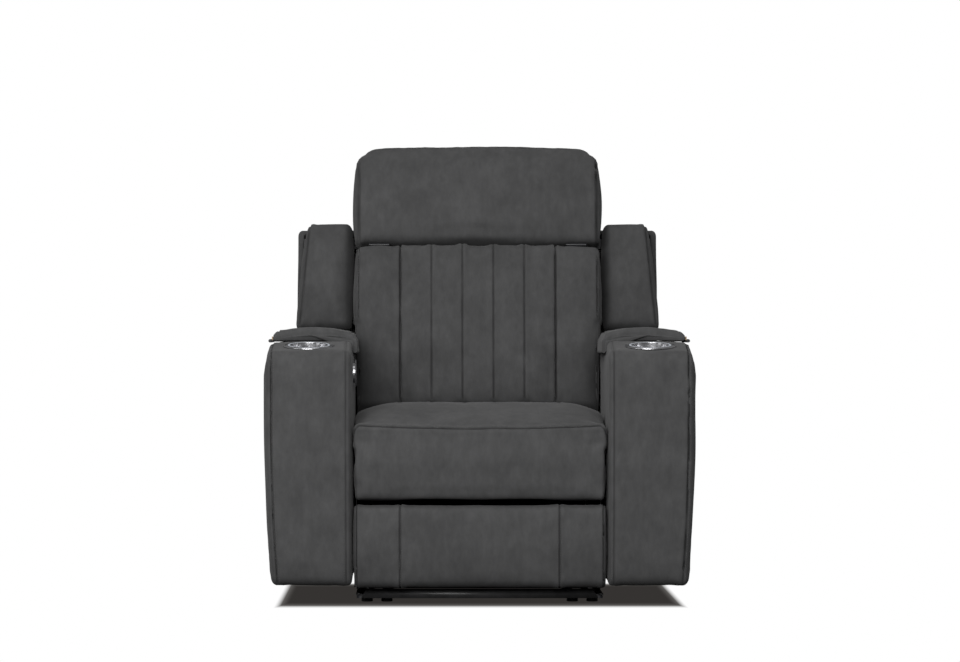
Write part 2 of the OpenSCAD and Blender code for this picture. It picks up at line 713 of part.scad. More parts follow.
footrest_motor_y = front_y + front_rail_setback + cross_rail_w;
module footrest_motor() color(plastic_colour) difference() {
  union() {
    box([-gear_half_w, footrest_motor_y, gear_low_h],
      [gear_half_w, scissor_place.x + gear_rear_reach, cross_rail_top]);
    pin_x(gear_half_w, [footrest_motor_y + motor_r, cross_rail_top - motor_r - spring_wire_r],
      motor_r, motor_l);
  }
  pin_x(-gear_half_w - overrun, scissor_place, torque_r + pin_clearance, 2 * gear_half_w + 2 * overrun);
}
module recline_motor() color(plastic_colour) difference() {
  union() {
    box([-gear_half_w, front_y + seat_rear_setback, recline_gear_low],
      [gear_half_w, recline_place.x + recline_gear_reach, recline_gear_top]);
    pin_x(gear_half_w, [front_y + seat_rear_setback + motor_r, recline_h - recline_motor_drop],
      motor_r, motor_l);
  }
  pin_x(-gear_half_w - overrun, recline_place, recline_r + pin_clearance, 2 * gear_half_w + 2 * overrun);
}
module power_box() color(plastic_colour)
  translate([power_box_x, glide_motor_y, cross_tube_place.y - power_box_size.z / 2]) cube(power_box_size);
module power_inlet() color(plastic_colour)
  translate([power_box_x + power_box_size.x / 2, glide_motor_y + power_box_size.y, cross_tube_place.y])
    difference() {
      translate([-inlet_size.x / 2, 0, -inlet_size.z / 2]) cube(inlet_size);
      translate([-inlet_hole.x / 2, inlet_size.y - inlet_hole.y, -inlet_hole.z / 2])
        cube(inlet_hole + [0, overrun, 0]);
    }

// Footrest scissor
module rear_links() color(link_colour) {
  for (side = [-1, 1]) on_side(side) along_x(link_in_x, link_t) difference() {
    union() {
      linkage([scissor_place, scissor_pivot, outer_pivot]);
      translate(scissor_place) circle(boss_r + link_gap);
    }
    translate(scissor_place) circle(pivot_r + pin_clearance);
    for (place = [scissor_pivot, outer_pivot]) translate(place) circle(rivet_r + pin_clearance);
  }
  difference() {
    pin_x(-link_in_x, scissor_place, torque_r, 2 * link_in_x);
    pin_x(-link_in_x - overrun, scissor_place, pivot_r + pin_clearance, 2 * link_in_x + 2 * overrun);
  }
}
module control_link(side) color(link_colour) on_side(side) along_x(link_in_x, link_t) difference() {
  linkage([control_place, control_pivot]);
  for (place = [control_place, control_pivot]) translate(place) circle(rivet_r + pin_clearance);
}
module link_rivet(place) {
  pin_x(front_out_x, place, rivet_r, link_out_x - front_out_x + head_gap);
  pin_x(link_out_x + head_gap, place, rivet_head_r, rivet_head_t);
  pin_x(front_out_x, place, rivet_head_r, link_gap - head_gap);
}
module front_links() color(link_colour) {
  for (side = [-1, 1]) on_side(side) {
    along_x(front_in_x, link_t) linkage([control_pivot, scissor_pivot, footrest_pivot]);
    for (place = [control_pivot, scissor_pivot, footrest_pivot]) link_rivet(place);
  }
  pin_x(-front_in_x, (scissor_pivot + footrest_pivot) / 2, rivet_r, 2 * front_in_x);
}
module outer_link(side) color(link_colour) on_side(side) {
  along_x(front_in_x, link_t) linkage([outer_pivot, footrest_guide]);
  for (place = [outer_pivot, footrest_guide]) link_rivet(place);
}

// Footrest: brackets, board and padded panel
bracket_flange_w = 34;
bracket_flange_t = 3;
bracket_low_h = 96;
board_inset = 12;
footrest_edge_gap = 2.5;
footrest_half = inner_x - footrest_edge_gap;
footrest_end_r = 14;
footrest_crown = 3;
board_front_setback = footrest_rear_setback - footrest_board_t;
bracket_top_h = footrest_pivot.y + link_w / 2;
bracket_edge = turned(unit(footrest_pivot - footrest_guide), -90) * link_waist / 2;

module footrest_brackets() color(link_colour) for (side = [-1, 1]) on_side(side) {
  along_x(link_in_x, link_t) difference() {
    union() {
      polygon([at(footrest_rear_setback, bracket_low_h),
        at(footrest_rear_setback + bracket_reach / 2, bracket_low_h), footrest_guide + bracket_edge, footrest_pivot + bracket_edge, at(footrest_rear_setback, bracket_top_h)]);
      for (pivot = [footrest_pivot, footrest_guide]) translate(pivot) circle(link_w / 2);
    }
    for (pivot = [footrest_pivot, footrest_guide]) translate(pivot) circle(rivet_r + pin_clearance);
  }
  box([link_out_x - bracket_flange_w, front_y + footrest_rear_setback, bracket_low_h],
    [link_out_x, front_y + footrest_rear_setback + bracket_flange_t, bracket_top_h]);
}
module footrest_board() color(board_colour) along_y(front_y + board_front_setback, footrest_board_t)
  filleted_box([-footrest_half + board_inset, footrest_floor_gap + board_inset],
    [footrest_half - board_inset, footrest_top - board_inset], board_inset);
footrest_sections = 10;
footrest_points = [at(footrest_front_setback, footrest_floor_gap), at(board_front_setback, footrest_floor_gap),
  at(board_front_setback, footrest_top), at(footrest_front_setback, footrest_top),
  at(footrest_front_setback - footrest_crown, (footrest_top + footrest_floor_gap) / 2)];
footrest_radii = [20, 8, 8, 20, 120];
footrest_path = soft_path(footrest_points, footrest_radii, soft_steps);
module footrest_cushion() color(leather_colour)
  soft_loft(loft_stations(footrest_half, footrest_end_r, soft_steps, footrest_sections),
    function(x) soft_ring(footrest_path, end_inset(x, footrest_half, footrest_end_r)));

// Back: everything here is placed along the leaning back, from its recline shaft
module leaned() translate([0, recline_place.x, recline_place.y]) rotate([-back_lean, 0, 0]) children();
tube_w = 25;
tube_wall = 2;
upright_out_x = 262;
lug_r = 18;
lug_l = 46;
frame_top = shell_top - shell_t - panel_gap;
wing_rise = 10;
wing_low = (arm_h - recline_h) / cos(back_lean) + wing_rise;
low_rail_rise = 34;
high_rail_drop = 49;
rail_places = [wing_low + low_rail_rise, wing_top - high_rail_drop];
low_rail_place = 150;
shell_edge = 8;
shell_half = wing_span / 2 - shell_edge;
frame_front = -tube_w / 2;

module recline_shaft() color(steel_colour)
  pin_x(-inner_x + panel_gap, recline_place, recline_r, 2 * inner_x - 2 * panel_gap);
module back_tube(x, length, place) along_x(x, length) difference() {
  translate([frame_front, place]) square(tube_w);
  translate([frame_front + tube_wall, place + tube_wall]) square(tube_w - 2 * tube_wall);
}
module back_frame() color(frame_colour) leaned() {
  for (side = [-1, 1]) on_side(side) {
    difference() {
      box([upright_out_x - tube_w, frame_front, lug_l / 2], [upright_out_x, -frame_front, frame_top]);
      box([upright_out_x - tube_w + tube_wall, frame_front + tube_wall, lug_l],
        [upright_out_x - tube_wall, -frame_front - tube_wall, frame_top + overrun]);
    }
    along_x(upright_out_x - tube_w, tube_w) difference() {
      union() {
        circle(lug_r);
        translate([frame_front, 0]) square([tube_w, lug_l / 2]);
      }
      circle(recline_r);
    }
    for (place = rail_places) back_tube(upright_out_x, shell_half - shell_t - upright_out_x, place);
  }
  for (place = concat(low_rail_place, rail_places))
    back_tube(tube_w - upright_out_x, 2 * (upright_out_x - tube_w), place);
}

// Rear shell: wide behind the arms, narrower above for the headrest and below for the mechanism
shell_foot = 108;
shell_low = 6;
shell_side_gap = 18;
shell_narrow_half = upright_out_x + shell_side_gap;
shell_arm_gap = 24;
shell_lip = 4;
shell_edge_r = 12;
shell_points = [[frame_front, wing_low + shell_lip], [shell_arm_gap, wing_low],
  [shell_rear - 2 * shell_t, shell_foot],
  [shell_rear, shell_foot], [shell_rear, wing_top], [frame_front, wing_top]];
shell_inner = [[frame_front - overrun, wing_low + shell_t], [shell_arm_gap + shell_t / 2, wing_low + shell_t],
  [shell_rear - 3 * shell_t / 2, shell_foot + shell_t], [shell_rear - shell_t, shell_foot + shell_t],
  [shell_rear - shell_t, wing_top - shell_t], [frame_front - overrun, wing_top - shell_t]];
module back_shell() color(leather_colour) leaned() {
  difference() {
    union() {
      along_x(-shell_half, 2 * shell_half)
        filleted(shell_points, [0, 0, 0, shell_edge_r, shell_corner_r, shell_edge_r]);
      along_x(-shell_narrow_half - shell_t, 2 * (shell_narrow_half + shell_t))
        filleted(box_points([frame_front, wing_top - 2 * shell_t], [shell_rear, shell_top]),
          [0, 0, shell_corner_r, shell_edge_r]);
    }
    along_x(-shell_half + shell_t, 2 * shell_half - 2 * shell_t) polygon(shell_inner);
    box([-shell_narrow_half, frame_front - overrun, shell_foot],
      [shell_narrow_half, shell_rear - shell_t, shell_top - shell_t]);
  }
  along_y(shell_rear - shell_t, shell_t)
    filleted_box([-shell_narrow_half, shell_low], [shell_narrow_half, shell_foot + 2 * shell_t], shell_t);
}

// Back cushion: stitched channels between two side panels, narrower between the arms
cushion_rear = frame_front - soft_gap;
cushion_front = cushion_rear - back_cushion_t;
cushion_low = 105;
cushion_half = back_cushion_w / 2;
cushion_arm_gap = 17;
cushion_low_half = inner_x - cushion_arm_gap;
cushion_step = 3;
cushion_end_r = 20;
channel_half = channel_pitch * channel_count / 2;
channel_shares = [0, 0.1, 0.3, 0.5, 0.7, 0.9];
cushion_crown = 8;
cushion_middle = (back_cushion_top + wing_low) / 2;
side_stations = [for (k = [1:2]) channel_half + k * (cushion_low_half - channel_half) / 2];
cushion_steps = 3;
cushion_h = back_cushion_top - cushion_low;
cushion_radii = [26, 10, 12, 34, 0, 0, 0, 0];
channel_stations = concat([for (k = [0:channel_count - 1]) for (share = channel_shares)
  (k + share) * channel_pitch - channel_half], channel_half);
cushion_ends = end_stations(cushion_half, cushion_end_r, soft_steps);
outer_stations = concat(side_stations, [cushion_low_half + cushion_step], cushion_ends);
back_stations = concat(-1 * reversed(outer_stations), channel_stations, outer_stations);
function side_swell(x) = 1 - pow(max(0, abs(x) - channel_half) / (cushion_half - channel_half) * 2 - 1, 2);
function channel_rise(x) = pow(abs(sin(180 * (x + channel_half) / channel_pitch)), 0.6);
function rise(x) = channel_swell * (abs(x) > channel_half + cushion_step ? side_swell(x) : channel_rise(x));
function cushion_points(low) = [[cushion_front, low], [cushion_rear, low], [cushion_rear, back_cushion_top],
  [cushion_front, back_cushion_top],
  for (share = [0.8, 0.6, 0.4, 0.2]) [cushion_front, low + share * (back_cushion_top - low)]];
function cushion_bulge(p, x) = let (crown = 1 - pow((p.y - cushion_middle) / cushion_h, 2))
  pow(max(0, (cushion_rear - p.x) / back_cushion_t), 3) * (rise(x) + cushion_crown * crown);
function back_ring(x) = let (low = abs(x) > cushion_low_half + cushion_step / 2 ? wing_low : cushion_low)
  soft_ring(
    [for (p = soft_path(cushion_points(low), cushion_radii, cushion_steps)) [p.x - cushion_bulge(p, x), p.y]],
    end_inset(x, cushion_half, cushion_end_r));
module back_cushion() color(leather_colour) leaned() soft_loft(back_stations, function(x) back_ring(x));

// Padded wings at the sides of the back
wing_t = 71;
wing_end_r = 24;
wing_in_x = cushion_half + soft_gap;
wing_half = (wing_span / 2 - wing_in_x) / 2;
wing_sections = 3;
wing_points = box_points([cushion_rear - wing_t, wing_low], [cushion_rear, wing_top]);
wing_radii = [20, 8, 8, 26];
wing_path = soft_path(wing_points, wing_radii, soft_steps);
module wing(side) color(leather_colour) leaned() on_side(side) translate([wing_in_x + wing_half, 0, 0])
  soft_loft(loft_stations(wing_half, wing_end_r, soft_steps, wing_sections),
    function(x) soft_ring(wing_path, end_inset(x, wing_half, wing_end_r)));

// Headrest on two ratchet hinges at its lower front edge
strap_w = 24;
strap_t = 3;
headrest_knuckle_r = 4;
headrest_pin_r = 2;
plate_t = 2;
plate_gap = 0.5;
headrest_low = back_cushion_top + headrest_gap;
headrest_frame_gap = 12;
headrest_axis_reach = 18;
headrest_rear = frame_front - headrest_frame_gap;
headrest_pad_rear = headrest_rear - plate_t - soft_gap;
headrest_front = headrest_pad_rear - headrest_t;
headrest_axis = [headrest_front + headrest_axis_reach, back_cushion_top + headrest_gap / 2];
headrest_plate_h = 170;
headrest_half = headrest_w / 2;
headrest_end_r = 34;
headrest_crown = 7;
headrest_sections = 8;
headrest_plate_gap = 5;
headrest_plate_half = shell_narrow_half - headrest_plate_gap;

module headrest_hinge() color(steel_colour) leaned() for (side = [-1, 1]) on_side(side) difference() {
  union() {
    box([upright_out_x - strap_w, headrest_axis.x, back_cushion_top + plate_gap],
      [upright_out_x, frame_front, back_cushion_top + plate_gap + strap_t]);
    pin_x(upright_out_x - strap_w, headrest_axis, headrest_knuckle_r, strap_w);
    pin_x(upright_out_x - 2 * strap_w, headrest_axis, headrest_pin_r, 2 * strap_w);
  }
}
module headrest_plate() color(frame_colour) leaned() {
  for (side = [-1, 1]) on_side(side) difference() {
    union() {
      pin_x(upright_out_x - 2 * strap_w, headrest_axis, headrest_knuckle_r, strap_w - plate_gap);
      box([upright_out_x - 2 * strap_w, headrest_axis.x, headrest_low - plate_gap - plate_t],
        [upright_out_x - strap_w - plate_gap, headrest_rear, headrest_low - plate_gap]);
    }
    pin_x(upright_out_x - 2 * strap_w - overrun, headrest_axis, headrest_pin_r + pin_clearance,
      strap_w + 2 * overrun);
  }
  box([-headrest_plate_half, headrest_rear - plate_t, headrest_low - plate_gap - plate_t],
    [headrest_plate_half, headrest_rear, headrest_low + headrest_plate_h]);
}
headrest_high = headrest_low + headrest_h;
headrest_points = concat(box_points([headrest_front, headrest_low], [headrest_pad_rear, headrest_high]),
  [for (share = [0.75, 0.5, 0.25])
    [headrest_front - headrest_crown * 4 * share * (1 - share), headrest_low + share * headrest_h]]);
headrest_radii = [34, 12, 30, 46, 0, 0, 0];
headrest_path = soft_path(headrest_points, headrest_radii, soft_steps);
module headrest_pad() color(leather_colour) leaned()
  soft_loft(loft_stations(headrest_half, headrest_end_r, soft_steps, headrest_sections),
    function(x) soft_ring(headrest_path, end_inset(x, headrest_half, headrest_end_r)));

base_plate(base_setback);  // base_plate_front
base_plate(base_rear_setback);  // base_plate_rear
base_rail(-1);  // base_rail_left
base_rail(1);  // base_rail_right
base_feet();
glide_rod();
glide_motor();
slide_blocks();
side_plate(-1);  // side_plate_left
side_plate(1);  // side_plate_right
cross_rail(front_rail_setback);  // cross_rail_front
cross_rail(rear_rail_setback);  // cross_rail_rear
cross_tube_low();
pivot_pins();
seat_springs();
seat_cushion();
arm_left();
arm_right();
storage_bin(-1);  // storage_bin_left
storage_bin(1);  // storage_bin_right
cup_holder(-1);  // cup_holder_left
cup_holder(1);  // cup_holder_right
cup_light(-1);  // cup_light_left
cup_light(1);  // cup_light_right
lid_hinge(-1);  // lid_hinge_left
lid_hinge(1);  // lid_hinge_right
lid_leaf(-1);  // lid_leaf_left
lid_leaf(1);  // lid_leaf_right
lid_board(-1);  // lid_board_left
lid_board(1);  // lid_board_right
lid_pad(-1);  // lid_pad_left
lid_pad(1);  // lid_pad_right
lid_lip(-1);  // lid_lip_left
lid_lip(1);  // lid_lip_right
control_ring();
button(button_high);  // button_open
button(button_low);  // button_close
footrest_motor();
recline_motor();
power_box();
power_inlet();
rear_links();
control_link(-1);  // control_link_left
control_link(1);  // control_link_right
front_links();
outer_link(-1);  // outer_link_left
outer_link(1);  // outer_link_right
footrest_brackets();
footrest_board();
footrest_cushion();
recline_shaft();
back_frame();
back_shell();
back_cushion();
wing(-1);  // wing_left
wing(1);  // wing_right
headrest_hinge();
headrest_plate();
headrest_pad();
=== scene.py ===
"""Dressed model of a cinema recliner seat with storage arms, cup holders and a powered footrest.

Metres, with +Z up and the seat facing -Y. Soft pieces are lofted skins with sewn seams, puckers and
thread; hard pieces keep their solids or are turned and pressed anew; every surface has a finish.
"""
import json
import logging
import math
from dataclasses import dataclass, field
from enum import Enum
from typing import Callable, Iterable, Sequence

import bmesh
import bpy
import numpy as np
from mathutils import Matrix, Vector, kdtree
from mathutils.bvhtree import BVHTree


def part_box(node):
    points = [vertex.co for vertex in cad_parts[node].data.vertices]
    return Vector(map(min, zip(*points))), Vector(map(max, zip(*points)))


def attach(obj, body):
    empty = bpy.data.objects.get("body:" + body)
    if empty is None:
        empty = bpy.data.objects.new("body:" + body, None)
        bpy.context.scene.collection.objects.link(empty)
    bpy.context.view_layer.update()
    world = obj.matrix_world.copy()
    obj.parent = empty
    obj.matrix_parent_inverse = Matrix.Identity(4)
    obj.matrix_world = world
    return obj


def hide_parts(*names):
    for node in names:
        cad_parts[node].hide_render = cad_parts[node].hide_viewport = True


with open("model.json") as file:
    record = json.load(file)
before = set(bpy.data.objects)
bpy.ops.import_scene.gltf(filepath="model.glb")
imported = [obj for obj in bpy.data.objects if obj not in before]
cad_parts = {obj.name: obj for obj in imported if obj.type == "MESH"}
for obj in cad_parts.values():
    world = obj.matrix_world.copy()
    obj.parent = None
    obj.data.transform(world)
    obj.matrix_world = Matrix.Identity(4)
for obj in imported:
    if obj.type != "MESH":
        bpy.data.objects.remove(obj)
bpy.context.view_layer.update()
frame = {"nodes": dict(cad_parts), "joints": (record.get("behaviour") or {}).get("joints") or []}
LOG = logging.getLogger("recliner")

Points = np.ndarray
Ring = Callable[[float, Points], Points]
Test = Callable[[Points], Points]
Stop = tuple[float, Sequence[float]]
Place = tuple[float, float, float]
Piece = bpy.types.Object
Node = bpy.types.Node
Material = bpy.types.Material


class Body(Enum):
    """Moving bodies of the seat."""

    BASE = "base"
    CARRIAGE = "carriage"
    LID_LEFT = "lid_left"
    LID_RIGHT = "lid_right"
    BUTTON_OPEN = "button_open"
    BUTTON_CLOSE = "button_close"
    FOOTREST = "footrest"
    BACK = "back"
    HEADREST = "headrest"


class Side(Enum):
    """Sides of the seat, as the sign of X."""

    LEFT = -1
    RIGHT = 1

    @property
    def word(self) -> str:
        """Gives the side's name as it ends a node's name."""
        return self.name.lower()


class Axis(Enum):
    """Axis that a skin is lofted along."""

    X = 0
    Y = 1


TURN_STEPS, CAP_STEPS = 11, 14
VOXEL, CLOTH_STEPS, NEIGHBOURS = 0.0065, 20, 6


# Places in the seat's frame


@dataclass(frozen=True)
class Pose:
    """Frame of a leaning part: turned about X at an origin."""

    origin: Place = (0.0, 0.0, 0.0)
    lean: float = 0.0

    def matrix(self) -> Matrix:
        """Gives the matrix from the leaning frame to the seat's frame."""
        return Matrix.Translation(self.origin) @ Matrix.Rotation(-math.radians(self.lean), 4, "X")

    def out(self, points: Points) -> Points:
        """Moves points from the leaning frame to the seat's frame."""
        turn = np.array(self.matrix().to_3x3())
        return points @ turn.T + np.array(self.origin)

    def inward(self, points: Points) -> Points:
        """Moves points from the seat's frame to the leaning frame."""
        turn = np.array(self.matrix().to_3x3())
        return (points - np.array(self.origin)) @ turn


def mesh_points(mesh: bpy.types.Mesh) -> Points:
    """Reads a mesh's vertices."""
    flat = np.empty(len(mesh.vertices) * 3)
    mesh.vertices.foreach_get("co", flat)
    return flat.reshape(-1, 3)


# Meshes


def graded(low: float, high: float, coarse: float, marks: Iterable[float] = (), fine: float = 0.0015,
           reach: float = 0.006) -> Points:
    """Spaces values out, closer together around marks."""
    growth = 0.3
    ahead = sorted(mark for mark in marks if low < mark < high)
    values = [low]
    while values[-1] < high:
        gap = min((abs(values[-1] - mark) for mark in ahead), default=high - low)
        step = min(coarse, fine + max(0.0, gap - reach) * growth)
        value = values[-1] + step
        for mark in ahead:
            if values[-1] < mark < value + step / 2:
                value = mark
                break
        values.append(value if value < high - step / 2 else high)
    return np.array(values)


def rounded(corners: Sequence[Place], step: float = 0.001) -> Points:
    """Draws a closed outline with rounded corners."""
    places = np.array([corner[:2] for corner in corners])
    count = len(corners)
    drawn: list[Points] = []
    for index, (_, _, radius) in enumerate(corners):
        here = places[index]
        back, ahead = places[index - 1] - here, places[(index + 1) % count] - here
        back_length, ahead_length = np.linalg.norm(back), np.linalg.norm(ahead)
        back, ahead = back / back_length, ahead / ahead_length
        half = math.acos(float(np.clip(back @ ahead, -1, 1))) / 2
        if radius <= 0 or half > math.pi / 2 - 0.01:
            drawn.append(here[None])
            continue
        reach = min(radius / math.tan(half), back_length / 2, ahead_length / 2)
        radius = reach * math.tan(half)
        towards = (back + ahead) / np.linalg.norm(back + ahead)
        centre = here + towards * radius / math.sin(half)
        start, end = here + back * reach - centre, here + ahead * reach - centre
        turn = math.atan2(start[0] * end[1] - start[1] * end[0], float(start @ end))
        angles = np.linspace(0, turn, max(4, int(abs(turn) * radius / step)))
        cos, sin = np.cos(angles), np.sin(angles)
        drawn.append(centre + np.stack([start[0] * cos - start[1] * sin, start[0] * sin + start[1] * cos], axis=1))
    return np.concatenate(drawn)


def resampled(outline: Points, marks: Sequence[tuple[float, float]], coarse: float, fine: float,
              reach: float) -> Points:
    """Spaces a closed outline's points evenly, closer together near marks."""
    closed = np.vstack([outline, outline[:1]])
    lengths = np.concatenate([[0], np.cumsum(np.linalg.norm(np.diff(closed, axis=0), axis=1))])
    dense = np.arange(0, lengths[-1], fine / 4)
    path = np.stack([np.interp(dense, lengths, closed[:, k]) for k in (0, 1)], axis=1)
    places = [dense[np.argmin(np.linalg.norm(path - np.array(mark), axis=1))] for mark in marks]
    values = graded(0, lengths[-1], coarse, places, fine, reach)[:-1]
    return np.stack([np.interp(values, lengths, closed[:, k]) for k in (0, 1)], axis=1)


def new_mesh(name: str, points: Points, faces: Sequence[Sequence[int]], smooth: bool = True) -> Piece:
    """Makes a mesh object in the scene."""
    mesh = bpy.data.meshes.new(name)
    mesh.from_pydata(points.tolist(), [], [tuple(face) for face in faces])
    mesh.polygons.foreach_set("use_smooth", [smooth] * len(mesh.polygons))
    mesh.update()
    piece = bpy.data.objects.new(name, mesh)
    bpy.context.scene.collection.objects.link(piece)
    return piece


def from_shape(shape: bmesh.types.BMesh, name: str, sharp: float | None = None) -> Piece:
    """Makes a piece of a mesh under construction, smooth except over edges of more than some degrees."""
    mesh = bpy.data.meshes.new(name)
    shape.to_mesh(mesh)
    shape.free()
    piece = bpy.data.objects.new(name, mesh)
    bpy.context.scene.collection.objects.link(piece)
    if sharp is not None:
        smooth_by_angle(piece, math.radians(sharp))
    return piece


def band(first: int, second: int, count: int) -> list[tuple[int, int, int, int]]:
    """Gives the faces between two rings of vertices, each named by its first vertex."""
    return [(first + k, first + (k + 1) % count, second + (k + 1) % count, second + k) for k in range(count)]


def spin(shape: bmesh.types.BMesh, profile: Sequence[tuple[float, float]], centre: tuple[float, float],
         steps: int) -> None:
    """Adds a profile of (radius, height), turned about an upright axis, to a mesh under construction."""
    rings = []
    for radius, height in profile:
        angles = [2 * math.pi * k / steps for k in range(steps)] if radius > 1e-6 else [0.0]
        reach = radius if len(angles) > 1 else 0.0
        rings.append([shape.verts.new((centre[0] + reach * math.cos(angle), centre[1] + reach * math.sin(angle),
                                       height)) for angle in angles])
    for first, second in zip(rings[:-1], rings[1:]):
        for k in range(steps):
            after = (k + 1) % steps
            corners = [(first, k), (second, k), (second, after), (first, after)]
            shape.faces.new(list(dict.fromkeys(ring[spot % len(ring)] for ring, spot in corners)))
    bmesh.ops.recalc_face_normals(shape, faces=shape.faces)


def set_points(piece: Piece, points: Points) -> None:
    """Moves a piece's vertices."""
    piece.data.vertices.foreach_set("co", points.ravel())
    piece.data.update()


def normals_of(piece: Piece) -> Points:
    """Reads a piece's vertex normals, one per row."""
    flat = np.empty(len(piece.data.vertices) * 3, dtype=np.float32)
    piece.data.vertex_normals.foreach_get("vector", flat)
    return flat.reshape(-1, 3).astype(float)


def waves(points: Points, wavelength: float, seed: int, count: int = 14) -> Points:
    """Gives a smooth uneven field, about -1 to 1."""
    source = np.random.default_rng(seed)
    directions = source.normal(size=(count, 3))
    directions /= np.linalg.norm(directions, axis=1)[:, None]
    lengths = wavelength * source.uniform(0.7, 1.6, count)
    phases = source.uniform(0, 2 * math.pi, count)
    total = np.sin(points @ (directions / lengths[:, None]).T * 2 * math.pi + phases).sum(axis=1)
    return total * math.sqrt(2 / count) / 2


def smoothstep(low: float, high: float, values: Points) -> Points:
    """Rises smoothly from 0 at low to 1 at high."""
    share = np.clip((values - low) / (high - low), 0, 1)
    return share * share * (3 - 2 * share)


class SewnLines:
    """Look-up of the nearest places on sewn lines."""

    def __init__(self, lines: Sequence[Points], spacing: float = 0.001) -> None:
        """Stores lines for look-up."""
        dense = [evenly(line, spacing) for line in lines]
        self.points = np.vstack(dense)
        self.tree = kdtree.KDTree(len(self.points))
        for index, point in enumerate(self.points):
            self.tree.insert(point, index)
        self.tree.balance()

    def distances(self, points: Points) -> Points:
        """Measures how far points lie from the lines."""
        return np.array([self.tree.find(point)[2] for point in points])


def evenly(line: Points, spacing: float) -> Points:
    """Spaces a line's points evenly."""
    lengths = np.concatenate([[0], np.cumsum(np.linalg.norm(np.diff(line, axis=0), axis=1))])
    count = max(2, int(round(lengths[-1] / spacing)) + 1)
    values = np.linspace(0, lengths[-1], count)
    return np.stack([np.interp(values, lengths, line[:, k]) for k in range(3)], axis=1)


@dataclass(frozen=True)
class EndRadii:
    """Radii where a lofted form turns over at its ends: over its u sides and its v sides."""

    u_low: float
    u_high: float
    v_low: float
    v_high: float

    @classmethod
    def even(cls, radius: float) -> "EndRadii":
        """Gives the same radius all round."""
        return cls(radius, radius, radius, radius)

    def largest(self) -> float:
        """Gives the largest of the four."""
        return max(self.u_low, self.u_high, self.v_low, self.v_high)


@dataclass
class Skin:
    """Closed skin lofted along an axis through rings of one outline, with crowned ends."""

    name: str
    outline: Points
    low: float
    high: float
    radii: EndRadii
    far_radii: EndRadii | None = None
    crown: float = 0.003
    axis: Axis = Axis.X
    coarse: float = 0.007
    fine: float = 0.0016
    reach: float = 0.006
    stations: Sequence[float] = ()
    marks: Sequence[tuple[float, float]] = ()
    cap_centre: tuple[float, float] | None = None
    reshape: Ring | None = None
    warp: Callable[[Points], Points] | None = None
    side: int = 1
    pose: Pose = field(default_factory=Pose)
    grid: Points = field(init=False)
    values: Points = field(init=False)

    def ring(self, value: float, base: Points) -> Points:
        """Draws the ring at one station."""
        ring = base.copy() if self.reshape is None else self.reshape(value, base.copy())
        low, high = ring.min(axis=0), ring.max(axis=0)
        middle, half = (low + high) / 2, (high - low) / 2
        gap = min(value - self.low, self.high - value)
        near = self.radii if self.far_radii is None or gap == value - self.low else self.far_radii
        share = (ring - low) / (high - low)
        for column, (first, last) in enumerate(((near.u_low, near.u_high), (near.v_low, near.v_high))):
            radius = first + (last - first) * smoothstep(0.3, 0.7, share[:, column])
            over = np.clip(radius - gap, 0, None)
            inset = radius - np.sqrt(np.clip(radius ** 2 - over ** 2, 0, None))
            ring[:, column] = middle[column] + (ring[:, column] - middle[column]) * (1 - inset / half[column])
        return ring

    def along(self, value: float, ring: Points) -> Points:
        """Places a ring's points in the seat's frame."""
        column = np.full(len(ring), value)
        parts = (column, ring[:, 0], ring[:, 1]) if self.axis is Axis.X else (ring[:, 0], column, ring[:, 1])
        points = np.stack(parts, axis=1)
        if self.warp is not None:
            points = self.warp(points)
        points[:, 0] *= self.side
        return self.pose.out(points)

    def build(self) -> Piece:
        """Builds the skin."""
        base = resampled(self.outline, self.marks, self.coarse, self.fine, self.reach)
        turn = max(self.radii.largest(), 0 if self.far_radii is None else self.far_radii.largest())
        body = graded(self.low + turn, self.high - turn, self.coarse, self.stations, self.fine, self.reach)
        ease = 1 - np.cos(np.linspace(0, math.pi / 2, TURN_STEPS))
        first = self.low + turn * ease[:-1]
        last = self.high - turn * ease[:-1][::-1]
        marks = [mark for mark in self.stations if mark < self.low + turn or mark > self.high - turn]
        self.values = np.unique(np.round(np.concatenate([first, body, last, marks]), 6))
        rings = [self.along(value, self.ring(value, base)) for value in self.values]
        self.grid = np.array(rings)
        count = len(base)
        cap_shares = np.linspace(1, 0, CAP_STEPS)[1:-1]
        points, total = [self.grid.reshape(-1, 3)], len(rings)
        faces: list[tuple[int, ...]] = []
        for row in range(total - 1):
            faces += band(row * count, (row + 1) * count, count)
        offset = total * count
        for row, value, sign in ((0, self.low, -1), (total - 1, self.high, 1)):
            ring = self.ring(value, base)
            middle = (ring.min(axis=0) + ring.max(axis=0)) / 2
            centre = middle if self.cap_centre is None else np.array(self.cap_centre)
            before = row * count
            for share in cap_shares:
                swollen = value + sign * self.crown * (1 - share ** 2)
                points.append(self.along(swollen, centre + (ring - centre) * share))
                faces += [quad[::sign] for quad in band(before, offset, count)]
                before = offset
                offset += count
            points.append(self.along(value + sign * self.crown, centre[None]))
            faces += [(before + k, before + (k + 1) % count, offset)[::sign] for k in range(count)]
            offset += 1
        piece = new_mesh(self.name, np.vstack(points), faces)
        outward(piece)
        return piece

    def station_line(self, value: float, keep: Test) -> Points:
        """Gives the line round the skin at a station."""
        row = self.grid[int(np.argmin(np.abs(self.values - value)))]
        chosen = keep(row)
        start = int(np.argmin(chosen)) if not chosen.all() else 0
        turned, picked = np.roll(row, -start, axis=0), np.roll(chosen, -start)
        return turned[picked]

    def ring_line(self, place: tuple[float, float], keep: Test | None = None) -> Points:
        """Gives the line along the skin through a place on its outline."""
        base = resampled(self.outline, self.marks, self.coarse, self.fine, self.reach)
        column = int(np.argmin(np.linalg.norm(base - np.array(place), axis=1)))
        line = self.grid[:, column]
        return line if keep is None else line[keep(line)]


